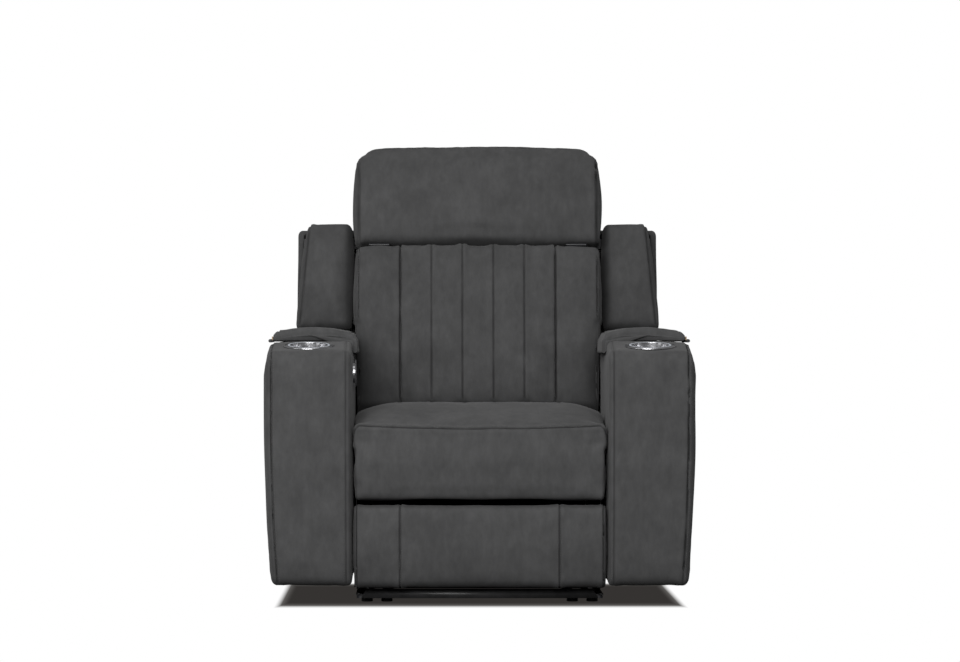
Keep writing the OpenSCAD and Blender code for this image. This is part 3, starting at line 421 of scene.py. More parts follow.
def outward(piece: Piece) -> None:
    """Turns a closed piece's faces outward."""
    shape = bmesh.new()
    shape.from_mesh(piece.data)
    bmesh.ops.recalc_face_normals(shape, faces=shape.faces)
    shape.to_mesh(piece.data)
    shape.free()
    piece.data.update()


def swell(piece: Piece, held: SewnLines, cap: float, pressure: float = 4.0, hold_reach: float = 0.012) -> None:
    """Lets a piece swell as cloth under pressure and carries the movement back to its own mesh."""
    scene = bpy.context.scene
    copy = piece.copy()
    copy.data = piece.data.copy()
    scene.collection.objects.link(copy)
    remesh = copy.modifiers.new("remesh", "REMESH")
    remesh.mode = "VOXEL"
    remesh.voxel_size = VOXEL
    graph = bpy.context.evaluated_depsgraph_get()
    mesh = bpy.data.meshes.new_from_object(copy.evaluated_get(graph))
    copy.modifiers.clear()
    copy.data = mesh
    rest = mesh_points(mesh)
    group = copy.vertex_groups.new(name="held")
    hold = np.clip(1 - held.distances(rest) / hold_reach, 0, 1)
    for index in np.nonzero(hold > 0)[0]:
        group.add([int(index)], float(hold[index]), "REPLACE")
    cloth = copy.modifiers.new("cloth", "CLOTH")
    settings = cloth.settings
    settings.quality = 4
    settings.use_pressure = True
    settings.uniform_pressure_force = pressure
    settings.vertex_group_mass = "held"
    settings.effector_weights.gravity = 0
    settings.tension_stiffness = settings.compression_stiffness = 25
    settings.shear_stiffness = 12
    settings.bending_stiffness = 2
    cloth.collision_settings.use_self_collision = False
    cloth.point_cache.frame_start, cloth.point_cache.frame_end = 1, CLOTH_STEPS
    for step in range(1, CLOTH_STEPS + 1):
        scene.frame_set(step)
    moved = mesh_points(copy.evaluated_get(bpy.context.evaluated_depsgraph_get()).data) - rest
    lengths = np.linalg.norm(moved, axis=1)
    moved *= (cap * np.tanh(lengths / cap) / np.maximum(lengths, 1e-9))[:, None]
    tree = kdtree.KDTree(len(rest))
    for index, point in enumerate(rest):
        tree.insert(point, index)
    tree.balance()
    points = mesh_points(piece.data)
    shift = np.zeros_like(points)
    for index, point in enumerate(points):
        found = tree.find_n(point, NEIGHBOURS)
        weights = np.array([1 / (distance + 0.001) for _, _, distance in found])
        shift[index] = (moved[[near for _, near, _ in found]] * weights[:, None]).sum(axis=0) / weights.sum()
    set_points(piece, points + shift)
    bpy.data.objects.remove(copy)
    scene.frame_set(1)


@dataclass(frozen=True)
class SeamStyle:
    """Shape of a sewn seam: its groove and the puckers beside it."""

    depth: float = 0.003
    width: float = 0.0022
    shoulder: float = 0.0007
    shoulder_at: float = 0.008
    pucker: float = 0.0005
    pucker_length: float = 0.014
    pucker_reach: float = 0.022


class Stitching(Enum):
    """How far a row of thread lies from its seam."""

    DOUBLE = (-0.006, 0.006)


def sew(piece: Piece, lines: Sequence[Points], style: SeamStyle, seed: int) -> None:
    """Presses seams into a piece, puckers the cloth beside them and marks painted shade along them."""
    points = mesh_points(piece.data)
    distances = SewnLines(lines).distances(points)
    groove = np.exp(-(distances / style.width) ** 2)
    shoulder = np.exp(-((distances - style.shoulder_at) / style.shoulder_at) ** 2)
    fade = np.exp(-distances / style.pucker_reach)
    pucker = waves(points, style.pucker_length, seed) * fade * (1 - groove)
    amounts = -style.depth * groove + style.shoulder * shoulder * (1 - groove) + style.pucker * pucker
    set_points(piece, points + normals_of(piece) * amounts[:, None])
    mark_folds(piece, groove)


def mark_folds(piece: Piece, amounts: Points) -> None:
    """Adds to the share of painted shade along seams that the finishes darken."""
    layer = piece.data.attributes.get("fold") or piece.data.attributes.new("fold", "FLOAT", "POINT")
    values = np.zeros(len(piece.data.vertices), dtype=np.float32)
    layer.data.foreach_get("value", values)
    layer.data.foreach_set("value", np.maximum(values, amounts.astype(np.float32)))


def unevenness(piece: Piece, amount: float, wavelength: float, seed: int) -> None:
    """Moves a piece's surface gently in and out, as filling does."""
    points = mesh_points(piece.data)
    field_values = waves(points, wavelength, seed)
    set_points(piece, points + normals_of(piece) * (amount * field_values)[:, None])


def surface_tree(piece: Piece) -> BVHTree:
    """Gives a look-up tree of a piece's surface."""
    mesh = piece.data
    return BVHTree.FromPolygons([vertex.co for vertex in mesh.vertices], [face.vertices for face in mesh.polygons])


@dataclass(frozen=True)
class Thread:
    """Row of stitches: the length and gap of each, and the thread's radius."""

    length: float = 0.0042
    gap: float = 0.0018
    radius: float = 0.00045
    proud: float = 0.0002

    def rows(self, name: str, surface: Piece, lines: Sequence[Points], offsets: Sequence[float]) -> Piece:
        """Sews rows of stitches beside lines on a surface."""
        tree = surface_tree(surface)
        sides = 5
        angles = np.arange(sides) / sides * 2 * math.pi
        shares = np.array([0.0, 0.2, 0.5, 0.8, 1.0])
        swelling = np.array([0.35, 0.95, 1.0, 0.95, 0.35])
        rise = np.array([-1.2, 0.25, 0.6, 0.25, -1.2])
        points, faces = [], []
        for line in lines:
            path = evenly(line, self.length + self.gap)
            for offset in offsets:
                placed = [self._place(tree, path, index, offset) for index in range(len(path))]
                for (start, normal), (end, _) in zip(placed[:-1], placed[1:]):
                    course = end - start
                    if course.length < self.length / 2 or course.length > 3 * self.length:
                        continue
                    side = course.normalized().cross(normal).normalized()
                    share = self.length / (self.length + self.gap)
                    first = len(points) * sides * len(shares)
                    spine = [start + course * (t * share) + normal * (self.proud + self.radius * up)
                             for t, up in zip(shares, rise)]
                    points.append(np.array([spot + (side * math.cos(a) + normal * math.sin(a)) * self.radius * fat
                                            for spot, fat in zip(spine, swelling) for a in angles]))
                    for row in range(len(shares) - 1):
                        faces += band(first + row * sides, first + (row + 1) * sides, sides)
        return new_mesh(name, np.vstack(points), faces)

    @staticmethod
    def _place(tree: BVHTree, path: Points, index: int, offset: float) -> tuple[Vector, Vector]:
        """Finds a stitch's place on the surface."""
        here = Vector(path[index])
        ahead = Vector(path[min(index + 1, len(path) - 1)]) - Vector(path[max(index - 1, 0)])
        spot, normal, _, _ = tree.find_nearest(here)
        across = ahead.cross(normal).normalized()
        spot, normal, _, _ = tree.find_nearest(here + across * offset)
        return spot, normal


def turned(name: str, profile: Sequence[tuple[float, float]], place: Matrix, steps: int = 96) -> Piece:
    """Turns a profile about Z; it is closed when it starts and ends on the axis or repeats its start."""
    shape = bmesh.new()
    spin(shape, profile, (0, 0), steps)
    bmesh.ops.remove_doubles(shape, verts=shape.verts, dist=1e-6)
    bmesh.ops.recalc_face_normals(shape, faces=shape.faces)
    shape.transform(place)
    return from_shape(shape, name, 35)


def smooth_by_angle(piece: Piece, angle: float) -> None:
    """Shades a piece smooth except over sharp edges."""
    mesh = piece.data
    mesh.polygons.foreach_set("use_smooth", [True] * len(mesh.polygons))
    shape = bmesh.new()
    shape.from_mesh(mesh)
    for edge in shape.edges:
        edge.smooth = len(edge.link_faces) != 2 or edge.calc_face_angle(0) < angle
    shape.to_mesh(mesh)
    shape.free()
    mesh.update()


def carve(piece: Piece, cutters: Sequence[Piece]) -> None:
    """Cuts shapes out of a closed piece and removes the cutters."""
    for cutter in cutters:
        cut = piece.modifiers.new("cut", "BOOLEAN")
        cut.operation, cut.solver, cut.object = "DIFFERENCE", "EXACT", cutter
    graph = bpy.context.evaluated_depsgraph_get()
    mesh = bpy.data.meshes.new_from_object(piece.evaluated_get(graph))
    piece.modifiers.clear()
    piece.data = mesh
    for cutter in cutters:
        bpy.data.objects.remove(cutter)


def block(name: str, low: Sequence[float], high: Sequence[float], bevel: float = 0.0) -> Piece:
    """Makes a box with bevelled edges."""
    shape = bmesh.new()
    bmesh.ops.create_cube(shape, size=1)
    size = Vector(high) - Vector(low)
    bmesh.ops.scale(shape, vec=size, verts=shape.verts)
    bmesh.ops.translate(shape, vec=(Vector(high) + Vector(low)) / 2, verts=shape.verts)
    if bevel > 0:
        bmesh.ops.bevel(shape, geom=shape.edges[:], offset=bevel, segments=3, affect="EDGES", profile=0.5)
    return from_shape(shape, name, 40)


# Finishes


class Shader:
    """Node tree of one material, with short calls for its nodes."""

    def __init__(self, name: str) -> None:
        """Starts an empty material."""
        self.material = bpy.data.materials.new(name)
        self.material.use_nodes = True
        self.tree = self.material.node_tree
        self.tree.nodes.clear()
        self.output = self.node("ShaderNodeOutputMaterial")
        self.surface = self.node("ShaderNodeBsdfPrincipled")
        self.link(self.surface, "BSDF", self.output, "Surface")
        self.place = self.node("ShaderNodeTexCoord")

    def node(self, kind: str, **values: object) -> Node:
        """Adds a node."""
        node = self.tree.nodes.new(kind)
        for key, value in values.items():
            setattr(node, key, value)
        return node

    def link(self, source: Node, output: str | int, target: Node, socket: str | int) -> None:
        """Links one node's output to another's input."""
        self.tree.links.new(source.outputs[output], target.inputs[socket])

    def noise(self, scale: float, detail: float = 3.0, rough: float = 0.55,
              stretch: Place = (1, 1, 1)) -> Node:
        """Adds noise in the piece's own coordinates."""
        mapping = self.node("ShaderNodeMapping")
        mapping.inputs["Scale"].default_value = stretch
        self.link(self.place, "Object", mapping, "Vector")
        noise = self.node("ShaderNodeTexNoise")
        noise.inputs["Scale"].default_value = scale
        noise.inputs["Detail"].default_value = detail
        noise.inputs["Roughness"].default_value = rough
        self.link(mapping, "Vector", noise, "Vector")
        return noise

    def ramp(self, source: Node, output: str | int, stops: Sequence[Stop]) -> Node:
        """Adds a colour ramp after a node."""
        ramp = self.node("ShaderNodeValToRGB")
        for index, (place, colour) in enumerate(stops):
            stop = ramp.color_ramp.elements[index] if index < 2 else ramp.color_ramp.elements.new(place)
            stop.position = place
            stop.color = (*colour, 1) if len(colour) == 3 else (*[colour[0]] * 3, 1)
        self.link(source, output, ramp, "Fac")
        return ramp

    def tone(self, source: Node, socket: str, *stops: Stop) -> Node:
        """Drives one of the surface's sockets by a ramp over noise, and gives the ramp."""
        ramp = self.ramp(source, "Fac", stops)
        self.link(ramp, "Color", self.surface, socket)
        return ramp

    def number(self, value: float) -> Node:
        """Adds a plain number."""
        node = self.node("ShaderNodeValue")
        node.outputs[0].default_value = value
        return node

    def cells(self, scale: float) -> Node:
        """Adds a cell pattern in the piece's own coordinates."""
        cells = self.node("ShaderNodeTexVoronoi", feature="F1")
        cells.inputs["Scale"].default_value = scale
        self.link(self.place, "Object", cells, "Vector")
        return cells

    def mixed(self, share: Node, first: Node, second: Node,
              blend: str) -> Node:
        """Mixes two colours by a share; output 2 of the node that it gives is the colour."""
        mix = self.node("ShaderNodeMix", data_type="RGBA", blend_type=blend)
        self.link(share, 0, mix, 0)
        for source, socket in ((first, 6), (second, 7)):
            self.link(source, 2 if source.bl_idname == "ShaderNodeMix" else "Color", mix, socket)
        return mix

    def bumped(self, *heights: tuple[Node, str, float, float]) -> None:
        """Stacks bumps, as (node, output, strength, distance), from the coarsest to the finest."""
        before, output = None, "Normal"
        for source, height, strength, distance in heights:
            bump = self.node("ShaderNodeBump")
            bump.inputs["Strength"].default_value = strength
            bump.inputs["Distance"].default_value = distance
            self.link(source, height, bump, "Height")
            if before is not None:
                self.link(before, output, bump, "Normal")
            before = bump
        self.link(before, output, self.surface, "Normal")

    def set(self, **values: float | Sequence[float]) -> None:
        """Sets the surface's own sockets, named with underscores for spaces."""
        for key, value in values.items():
            self.surface.inputs[key.replace("_", " ")].default_value = value


def grey(level: float, tint: Place = (1, 1, 1)) -> Place:
    """Gives a linear colour from a display level of 0 to 255."""
    share = level / 255
    linear = share / 12.92 if share <= 0.04045 else ((share + 0.055) / 1.055) ** 2.4
    return (linear * tint[0], linear * tint[1], linear * tint[2])


@dataclass(frozen=True)
class Finish:
    """Finish of a surface, drawn on a material of its own."""

    name: str

    def build(self) -> Material:
        """Builds the material."""
        shader = Shader(self.name)
        self.draw(shader)
        return shader.material

    def draw(self, shader: Shader) -> None:
        """Draws the finish."""
        raise NotImplementedError


@dataclass(frozen=True)
class Nubuck(Finish):
    """Soft napped leather: cloudy colour, fine nap and grain, with painted shade along its seams and in its hollows."""

    level: float = 82
    tint: Place = (1.0, 1.0, 1.01)
    cloud: float = 0.12
    # How far the painted shade in hollows and corners reaches.
    hollow: float = 0.26

    def draw(self, shader: Shader) -> None:
        """Draws the finish."""
        base = grey(self.level, self.tint)
        low = tuple(part * (1 - self.cloud) for part in base)
        high = tuple(part * (1 + self.cloud) for part in base)
        clouds = shader.noise(13, 4, 0.55)
        brushed = shader.noise(60, 4, 0.6, (1.0, 1.0, 0.45))
        wide = shader.ramp(clouds, "Fac", ((0.32, low), (0.68, high)))
        close = shader.ramp(brushed, "Fac", ((0.3, (0.42,)), (0.7, (0.58,))))
        colour = shader.mixed(shader.number(0.85), wide, close, "OVERLAY")
        # Painted shade along the sewn seams: the colour darkens by the share that sew marks on the mesh.
        seam_shade_share = shader.node("ShaderNodeAttribute", attribute_name="fold")
        dark = shader.ramp(seam_shade_share, "Fac", ((0.0, (1.0,)), (1.0, (0.42,))))
        # Painted shade: the colour darkens where other surfaces are near, in hollows, corners and under parts.
        occlusion = shader.node("ShaderNodeAmbientOcclusion", samples=6)
        occlusion.inputs["Distance"].default_value = self.hollow
        shade = shader.ramp(occlusion, "AO", ((0.05, (0.3,)), (0.78, (1.0,))))
        whole = shader.number(1.0)
        seam_shaded = shader.mixed(whole, colour, dark, "MULTIPLY")
        shaded = shader.mixed(whole, seam_shaded, shade, "MULTIPLY")
        shader.link(shaded, 2, shader.surface, "Base Color")
        nap = shader.noise(2400, 2, 0.6)
        grain = shader.cells(620)
        creases = shader.noise(95, 5, 0.6)
        shader.tone(brushed, "Roughness", (0.3, (0.78,)), (0.7, (0.92,)))
        shader.bumped((creases, "Fac", 0.25, 0.0012), (grain, "Distance", 0.12, 0.0006), (nap, "Fac", 0.18, 0.0004))
        shader.set(Sheen_Weight=0.12, Sheen_Roughness=0.55, Specular_IOR_Level=0.22)


@dataclass(frozen=True)
class Twine(Finish):
    """Sewing thread: a lighter tone of its leather, with a slight gloss."""

    level: float = 104

    def draw(self, shader: Shader) -> None:
        """Draws the finish."""
        lay = shader.noise(1500, 2, 0.5)
        shader.tone(lay, "Base Color", (0.3, grey(self.level - 14)), (0.7, grey(self.level + 10)))
        shader.bumped((lay, "Fac", 0.3, 0.0003))
        shader.set(Roughness=0.55, Specular_IOR_Level=0.35)


@dataclass(frozen=True)
class PaintedSteel(Finish):
    """Baked enamel on steel, with a faint orange peel and paler rubbed places."""

    level: float = 34
    tint: Place = (0.92, 0.92, 1.12)
    roughness: float = 0.42

    def draw(self, shader: Shader) -> None:
        """Draws the finish."""
        dust = shader.noise(38, 5, 0.62)
        low, high = (grey(self.level * share, self.tint) for share in (0.88, 1.16))
        shader.tone(dust, "Base Color", (0.35, low), (0.75, high))
        shader.tone(dust, "Roughness", (0.3, (self.roughness - 0.08,)), (0.75, (self.roughness + 0.14,)))
        shader.bumped((shader.noise(900, 2, 0.5), "Fac", 0.12, 0.0004))
        shader.set(Specular_IOR_Level=0.5, Coat_Weight=0.15, Coat_Roughness=0.35)


@dataclass(frozen=True)
class BrightSteel(Finish):
    """Stainless or plated steel with smudges, and with fine round lines where it was spun."""

    level: float = 205
    roughness: float = 0.24
    spun_about: Place | None = None

    def draw(self, shader: Shader) -> None:
        """Draws the finish."""
        smudge = shader.noise(42, 4, 0.6)
        low, high = (grey(self.level + change, (1.0, 1.0, 1.03)) for change in (-18, 8))
        shader.tone(smudge, "Base Color", (0.3, low), (0.7, high))
        shader.tone(smudge, "Roughness", (0.3, (self.roughness - 0.06,)), (0.75, (self.roughness + 0.12,)))
        if self.spun_about is None:
            shader.bumped((shader.noise(300, 2, 0.5), "Fac", 0.1, 0.0003))
        else:
            offset = shader.node("ShaderNodeVectorMath", operation="DISTANCE")
            offset.inputs[1].default_value = self.spun_about
            shader.link(shader.place, "Object", offset, 0)
            lines = shader.node("ShaderNodeTexNoise", noise_dimensions="1D")
            lines.inputs["Scale"].default_value = 1800
            shader.link(offset, "Value", lines, "W")
            shader.bumped((lines, "Fac", 0.12, 0.0003))
        shader.set(Metallic=1.0)


@dataclass(frozen=True)
class MouldedPlastic(Finish):
    """Moulded plastic with a fine spark-eroded texture."""

    level: float = 36
    roughness: float = 0.5
    grain: float = 0.25

    def draw(self, shader: Shader) -> None:
        """Draws the finish."""
        tone = shader.noise(55, 3, 0.5)
        shader.tone(tone, "Base Color", (0.3, grey(self.level * 0.92)), (0.7, grey(self.level * 1.1)))
        shader.tone(tone, "Roughness", (0.3, (self.roughness - 0.05,)), (0.7, (self.roughness + 0.08,)))
        shader.bumped((shader.noise(1700, 3, 0.6), "Fac", self.grain, 0.0004))
        shader.set(Specular_IOR_Level=0.45)


@dataclass(frozen=True)
class LightGuide(Finish):
    """Frosted ring that glows a little."""

    glow: float = 0.22

    def draw(self, shader: Shader) -> None:
        """Draws the finish."""
        diodes = shader.noise(260, 2, 0.5)
        colour = shader.tone(diodes, "Base Color", (0.3, (0.50, 0.53, 0.58)), (0.7, (0.62, 0.65, 0.70)))
        shader.link(colour, "Color", shader.surface, "Emission Color")
        shader.bumped((diodes, "Fac", 0.08, 0.0003))
        shader.set(Roughness=0.35, Emission_Strength=self.glow)


@dataclass(frozen=True)
class PressedBoard(Finish):
    """Plywood: long grain on the faces."""

    def draw(self, shader: Shader) -> None:
        """Draws the finish."""
        grain = shader.noise(70, 6, 0.65, (0.12, 1.0, 1.0))
        shader.tone(grain, "Base Color", (0.3, (0.30, 0.20, 0.115)), (0.5, (0.40, 0.285, 0.17)),
                    (0.72, (0.50, 0.375, 0.24)))
        shader.tone(grain, "Roughness", (0.3, (0.62,)), (0.7, (0.8,)))
        shader.bumped((grain, "Fac", 0.2, 0.0006))


@dataclass(frozen=True)
class Wadding(Finish):
    """Black bonded lining cloth with a pressed dot pattern."""

    level: float = 30

    def draw(self, shader: Shader) -> None:
        """Draws the finish."""
        fibres = shader.noise(420, 5, 0.7)
        shader.tone(fibres, "Base Color", (0.3, grey(self.level * 0.8)), (0.7, grey(self.level * 1.25)))
        dots = shader.cells(380)
        dots.inputs["Randomness"].default_value = 0.15
        shader.bumped((fibres, "Fac", 0.3, 0.0006), (dots, "Distance", 0.3, 0.0005))
        shader.set(Roughness=0.9, Specular_IOR_Level=0.15)


class Finishes:
    """Every material of the seat, built once."""

    def __init__(self) -> None:
        """Builds the materials."""
        self.nubuck = Nubuck("nubuck").build()
        self.twine = Twine("twine").build()
        self.frame = PaintedSteel("enamelled_frame").build()
        self.links = PaintedSteel("enamelled_links", level=48, tint=(1, 1, 1.02), roughness=0.36).build()
        self.zinc = BrightSteel("plated_steel", level=185, roughness=0.34).build()
        self.cups = {side: BrightSteel(f"spun_steel_{side.word}", level=212, roughness=0.2,
                                       spun_about=tuple(cup_centre(side))).build() for side in Side}
        self.trim = BrightSteel("satin_trim", level=205, roughness=0.22).build()
        self.plastic = MouldedPlastic("black_moulding").build()
        self.buttons = MouldedPlastic("button_moulding", level=28, roughness=0.3, grain=0.08).build()
        self.light = LightGuide("light_guide").build()
        self.board = PressedBoard("plywood").build()
        self.lining = Wadding("lining_cloth").build()


def cup_centre(side: Side) -> Vector:
    """Gives the middle of a cup holder's flange."""
    low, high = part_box(f"cup_light_{side.word}")
    return (Vector(low) + Vector(high)) / 2


def finish(piece: Piece, material: Material) -> None:
    """Gives a piece one material."""
    piece.data.materials.clear()
    piece.data.materials.append(material)


def dressed(piece: Piece, material: Material, body: Body,
            nodes: Sequence[str] = ()) -> Piece:
    """Gives a new piece its finish, its body and the nodes that it stands for."""
    finish(piece, material)
    if nodes:
        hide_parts(*nodes)
    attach(piece, body.value)
    LOG.info("%s rides on %s: %d faces", piece.name, body.value, len(piece.data.polygons))
    return piece


# Places

BACK_LEAN = 15.0
DECK_SLOPE = 7.6
CUP_LIGHT_RISE = 0.00325
MM = 0.001


@dataclass(frozen=True)
class Layout:
    """Main places of the seat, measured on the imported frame."""

    front: float
    inner: float
    outer: float
    foot: float
    top: float
    rear: float
    back: Pose

    @classmethod
    def measured(cls) -> "Layout":
        """Measures the arms and the recline shaft."""
        low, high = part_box("arm_right")
        places = {joint["name"]: joint.get("pos_m") for joint in frame["joints"]}
        return cls(low.y, low.x, high.x, low.z, high.z, high.y, Pose(tuple(places["back_recline"]), BACK_LEAN))

    def ahead(self, *places: Place) -> list[Place]:
        """Turns (setback, height, radius) in millimetres into (y, z, radius) in metres."""
        return [(self.front + setback * MM, height * MM, radius * MM) for setback, height, radius in places]


def pressed(surface: BVHTree, line: Points) -> Points:
    """Lays a line's points on a surface."""
    return np.array([surface.find_nearest(Vector(point))[0] for point in evenly(line, 0.003)])


# Upholstery


@dataclass(frozen=True)
class SewnRow:
    """Sewn line, with the shape of its seam and the rows of thread beside it."""

    line: Points
    style: SeamStyle = SeamStyle()
    offsets: tuple[float, ...] = ()
    thread: Thread = Thread()


@dataclass
class Padded:
    """Padded piece of upholstery: a skin that swells between its seams, sewn and dressed."""

    finishes: Finishes
    layout: Layout
    name: str
    body: Body
    nodes: tuple[str, ...]
    seed: int
    fill: float = 0.8
    cap: float = 0.004
    uneven: float = 0.0011
    swells: float = 0.11

    def skin(self) -> Skin:
        """Draws the piece's closed skin."""
        raise NotImplementedError

    def rows(self, skin: Skin, surface: BVHTree) -> list[SewnRow]:
        """Places the piece's seams."""
        raise NotImplementedError

    @staticmethod
    def ahead_test(depth: float, sign: int, above: float = -math.inf) -> Test:
        """Gives a test for points before (-1) or behind (1) a depth and above a height."""
        return lambda row: (sign * row[:, 1] > sign * depth) & (row[:, 2] > above)

    def leaning_test(self, depth: float, above: float = -math.inf, below: float = math.inf) -> Test:
        """Gives a test for points before a depth of the leaning back and between two of its heights."""
        def test(row: Points) -> Points:
            place = self.layout.back.inward(row)
            return (place[:, 1] < depth) & (place[:, 2] > above) & (place[:, 2] < below)

        return test

    def open_up(self, piece: Piece) -> None:
        """Cuts the piece's openings, where it has any."""

    def build(self) -> Piece:
        """Builds, swells, sews and dresses the piece."""
        skin = self.skin()
        piece = skin.build()
        rows = self.rows(skin, surface_tree(piece))
        held = SewnLines([row.line for row in rows])
        self._let_in(piece, held)
        swell(piece, held, self.cap)
        unevenness(piece, self.uneven, self.swells, self.seed)
        for index, row in enumerate(rows):
            sew(piece, [row.line], row.style, self.seed + index)
        threads = [row.thread.rows(f"{self.name}_thread_{index}", piece, [row.line], row.offsets)
                   for index, row in enumerate(rows) if row.offsets]
        self.open_up(piece)
        for thread in threads:
            dressed(thread, self.finishes.twine, self.body)
        dressed(piece, self.finishes.nubuck, self.body, self.nodes)
        return piece

    def _let_in(self, piece: Piece, held: SewnLines) -> None:
        """Draws the skin in before it swells, except along its seams."""
        points = mesh_points(piece.data)
        free = smoothstep(0.0, 0.02, held.distances(points))
        set_points(piece, points - normals_of(piece) * (0.75 * self.cap * free)[:, None])


CHANNELS = (0.03725, 0.11175, 0.18625)


def mirrored(places: Iterable[float]) -> list[float]:
    """Gives places on both sides of the middle."""
    return [sign * place for place in places for sign in (-1, 1)]


def channel_rise(x: Points | float, power: float = 0.6) -> Points:
    """Gives the swell of the sewn channels across the seat, 0 at a seam and 1 between seams."""
    pitch = CHANNELS[1] - CHANNELS[0]
    share = np.abs(np.sin(np.pi * (np.asarray(x) + CHANNELS[0]) / pitch))
    return np.where(np.abs(x) <= CHANNELS[-1], share ** power, 0.0)


class SeatCushion(Padded):
    """Seat cushion: a front roll, a crown that falls to its sides and shallow channels."""

    half: float = 0.2945
    seam: tuple[float, float] = (8, 415)

    def skin(self) -> Skin:
        """Draws the cushion's skin."""
        lay = self.layout
        outline = rounded(lay.ahead((8, 231, 18), (90, 231, 38), (90, 316, 6), (560, 316, 10), (560, 405, 26),
                                    (190, 470, 170), (8, 415, 20), (0, 325, 80)))
        seam = lay.ahead((*self.seam, 0))[0][:2]

        def reshape(x: float, ring: Points) -> Points:
            depth, height = ring[:, 0], ring[:, 1]
            upper = np.clip((height - 0.316) / 0.15, 0, None)
            drop = 0.024 * max(0.0, (abs(x) - self.half + 0.115) / 0.115) ** 2
            near_seam = np.exp(-((depth - seam[0]) ** 2 + (height - seam[1]) ** 2) / 0.045 ** 2)
            bow = 0.008 * (1 - (x / self.half) ** 2)
            rearward = smoothstep(lay.front + 0.13, lay.front + 0.26, depth) * np.clip(upper, 0, 1)
            dips = sum(math.exp(-((abs(x) - place) / 0.012) ** 2) for place in CHANNELS)
            fall = drop * upper * (1 - near_seam) + bow * near_seam
            ring[:, 1] = height - fall + rearward * (0.003 - 0.0075 * dips)
            return ring

        return Skin("seat_cushion_cover", outline, -self.half, self.half, EndRadii(0.011, 0.012, 0.012, 0.016),
                    crown=0.0, stations=mirrored(CHANNELS), marks=[seam],
                    cap_centre=(lay.front + 0.070, 0.350), reshape=reshape)

    def rows(self, skin: Skin, surface: BVHTree) -> list[SewnRow]:
        """Places the front seam, its corner darts and the channels' ends."""
        lay = self.layout
        seam = skin.ring_line(lay.ahead((*self.seam, 0))[0][:2])
        middle = seam[np.abs(seam[:, 0]) < 0.283]
        darts = []
        for line, sign in ((middle[::-1], -1), (middle, 1)):
            last = line[-1]
            corner = np.array([[last[0], last[1], last[2]], [sign * 0.2905, lay.front + 0.012, 0.398],
                               [sign * self.half, lay.front + 0.020, 0.368]])
            darts.append(pressed(surface, corner))
        rows = [SewnRow(middle, SeamStyle(0.0042, 0.0026, pucker=0.0009), (-0.0065,))]
        rows += [SewnRow(line, SeamStyle(0.003, 0.0024)) for line in darts]
        for place in CHANNELS:
            for sign in (-1, 1):
                line = skin.station_line(sign * place, self.ahead_test(lay.front + 0.20, 1, 0.40))
                deep = place == CHANNELS[-1]
                style = SeamStyle(0.002 if deep else 0.001, 0.003, pucker=0.0007)
                rows.append(SewnRow(line, style, (0.0,) if deep else ()))
        return rows


class BackCushion(Padded):
    """Back cushion: five sewn channels between side panels, a little narrower between the arms."""

    half: float = 0.2992
    low_half: float = 0.2925
    step: float = 0.326
    low: float = 0.105
    top: float = 0.524
    front: float = -0.1308
    rear: float = -0.0128
    edge: float = 0.2885

    def skin(self) -> Skin:
        """Draws the cushion's skin."""
        outline = rounded([(self.front, self.low, 0.026), (self.rear, self.low, 0.01), (self.rear, self.top, 0.014),
                           (self.front, self.top, 0.020)])

        def reshape(x: float, ring: Points) -> Points:
            depth, height = ring[:, 0].copy(), ring[:, 1].copy()
            share = np.clip((self.rear - depth) / (self.rear - self.front), 0, 1) ** 3
            if abs(x) > CHANNELS[-1]:
                out = (abs(x) - CHANNELS[-1]) / (self.half - CHANNELS[-1]) * 2 - 1
                rise = 0.013 * (1 - out ** 2)
            else:
                rise = 0.015 * float(channel_rise(x))
                if abs(x) < (CHANNELS[-2] + CHANNELS[-1]) / 2:
                    rise = 0.0123 + 0.18 * rise
            crown = 1 - ((height - 0.42) / (self.top - self.low)) ** 2
            ring[:, 0] = depth - share * (rise + 0.008 * crown)
            scallop = smoothstep(0.46, self.top, height) * (rise / 0.015 * 0.003 - 0.0015)
            if abs(x) > self.low_half + 0.0015:
                height = self.step + (height - self.low) * (self.top - self.step) / (self.top - self.low)
            ring[:, 1] = height + scallop
            return ring

        places = (*CHANNELS, self.low_half, self.low_half + 0.003, self.edge)
        return Skin("back_cushion_cover", outline, -self.half, self.half, EndRadii(0.020, 0.012, 0.012, 0.016),
                    crown=0.0, stations=mirrored(places), reshape=reshape,
                    pose=self.layout.back)

    def rows(self, skin: Skin, surface: BVHTree) -> list[SewnRow]:
        """Places the channel seams and the topstitching beside the sides."""
        in_front = self.leaning_test(-0.045, above=self.low + 0.03)
        rows = []
        for place in CHANNELS:
            for sign in (-1, 1):
                line = skin.station_line(sign * place, in_front)
                if place == CHANNELS[-1]:
                    rows.append(SewnRow(line, SeamStyle(0.0050, 0.0024, pucker=0.0012, pucker_length=0.02),
                                        (-0.0075, 0.0075)))
                else:
                    rows.append(SewnRow(line, SeamStyle(0.0014, 0.0022, pucker=0.0007, pucker_length=0.022)))
        for sign in (-1, 1):
            line = skin.station_line(sign * self.edge, in_front)
            heights = self.layout.back.inward(line)[:, 2]
            shown = (heights > self.step + 0.012) & (heights < self.top - 0.03)
            rows.append(SewnRow(line[shown], SeamStyle(0.0018, 0.0020, pucker=0.0006), (0.0,)))
        return rows


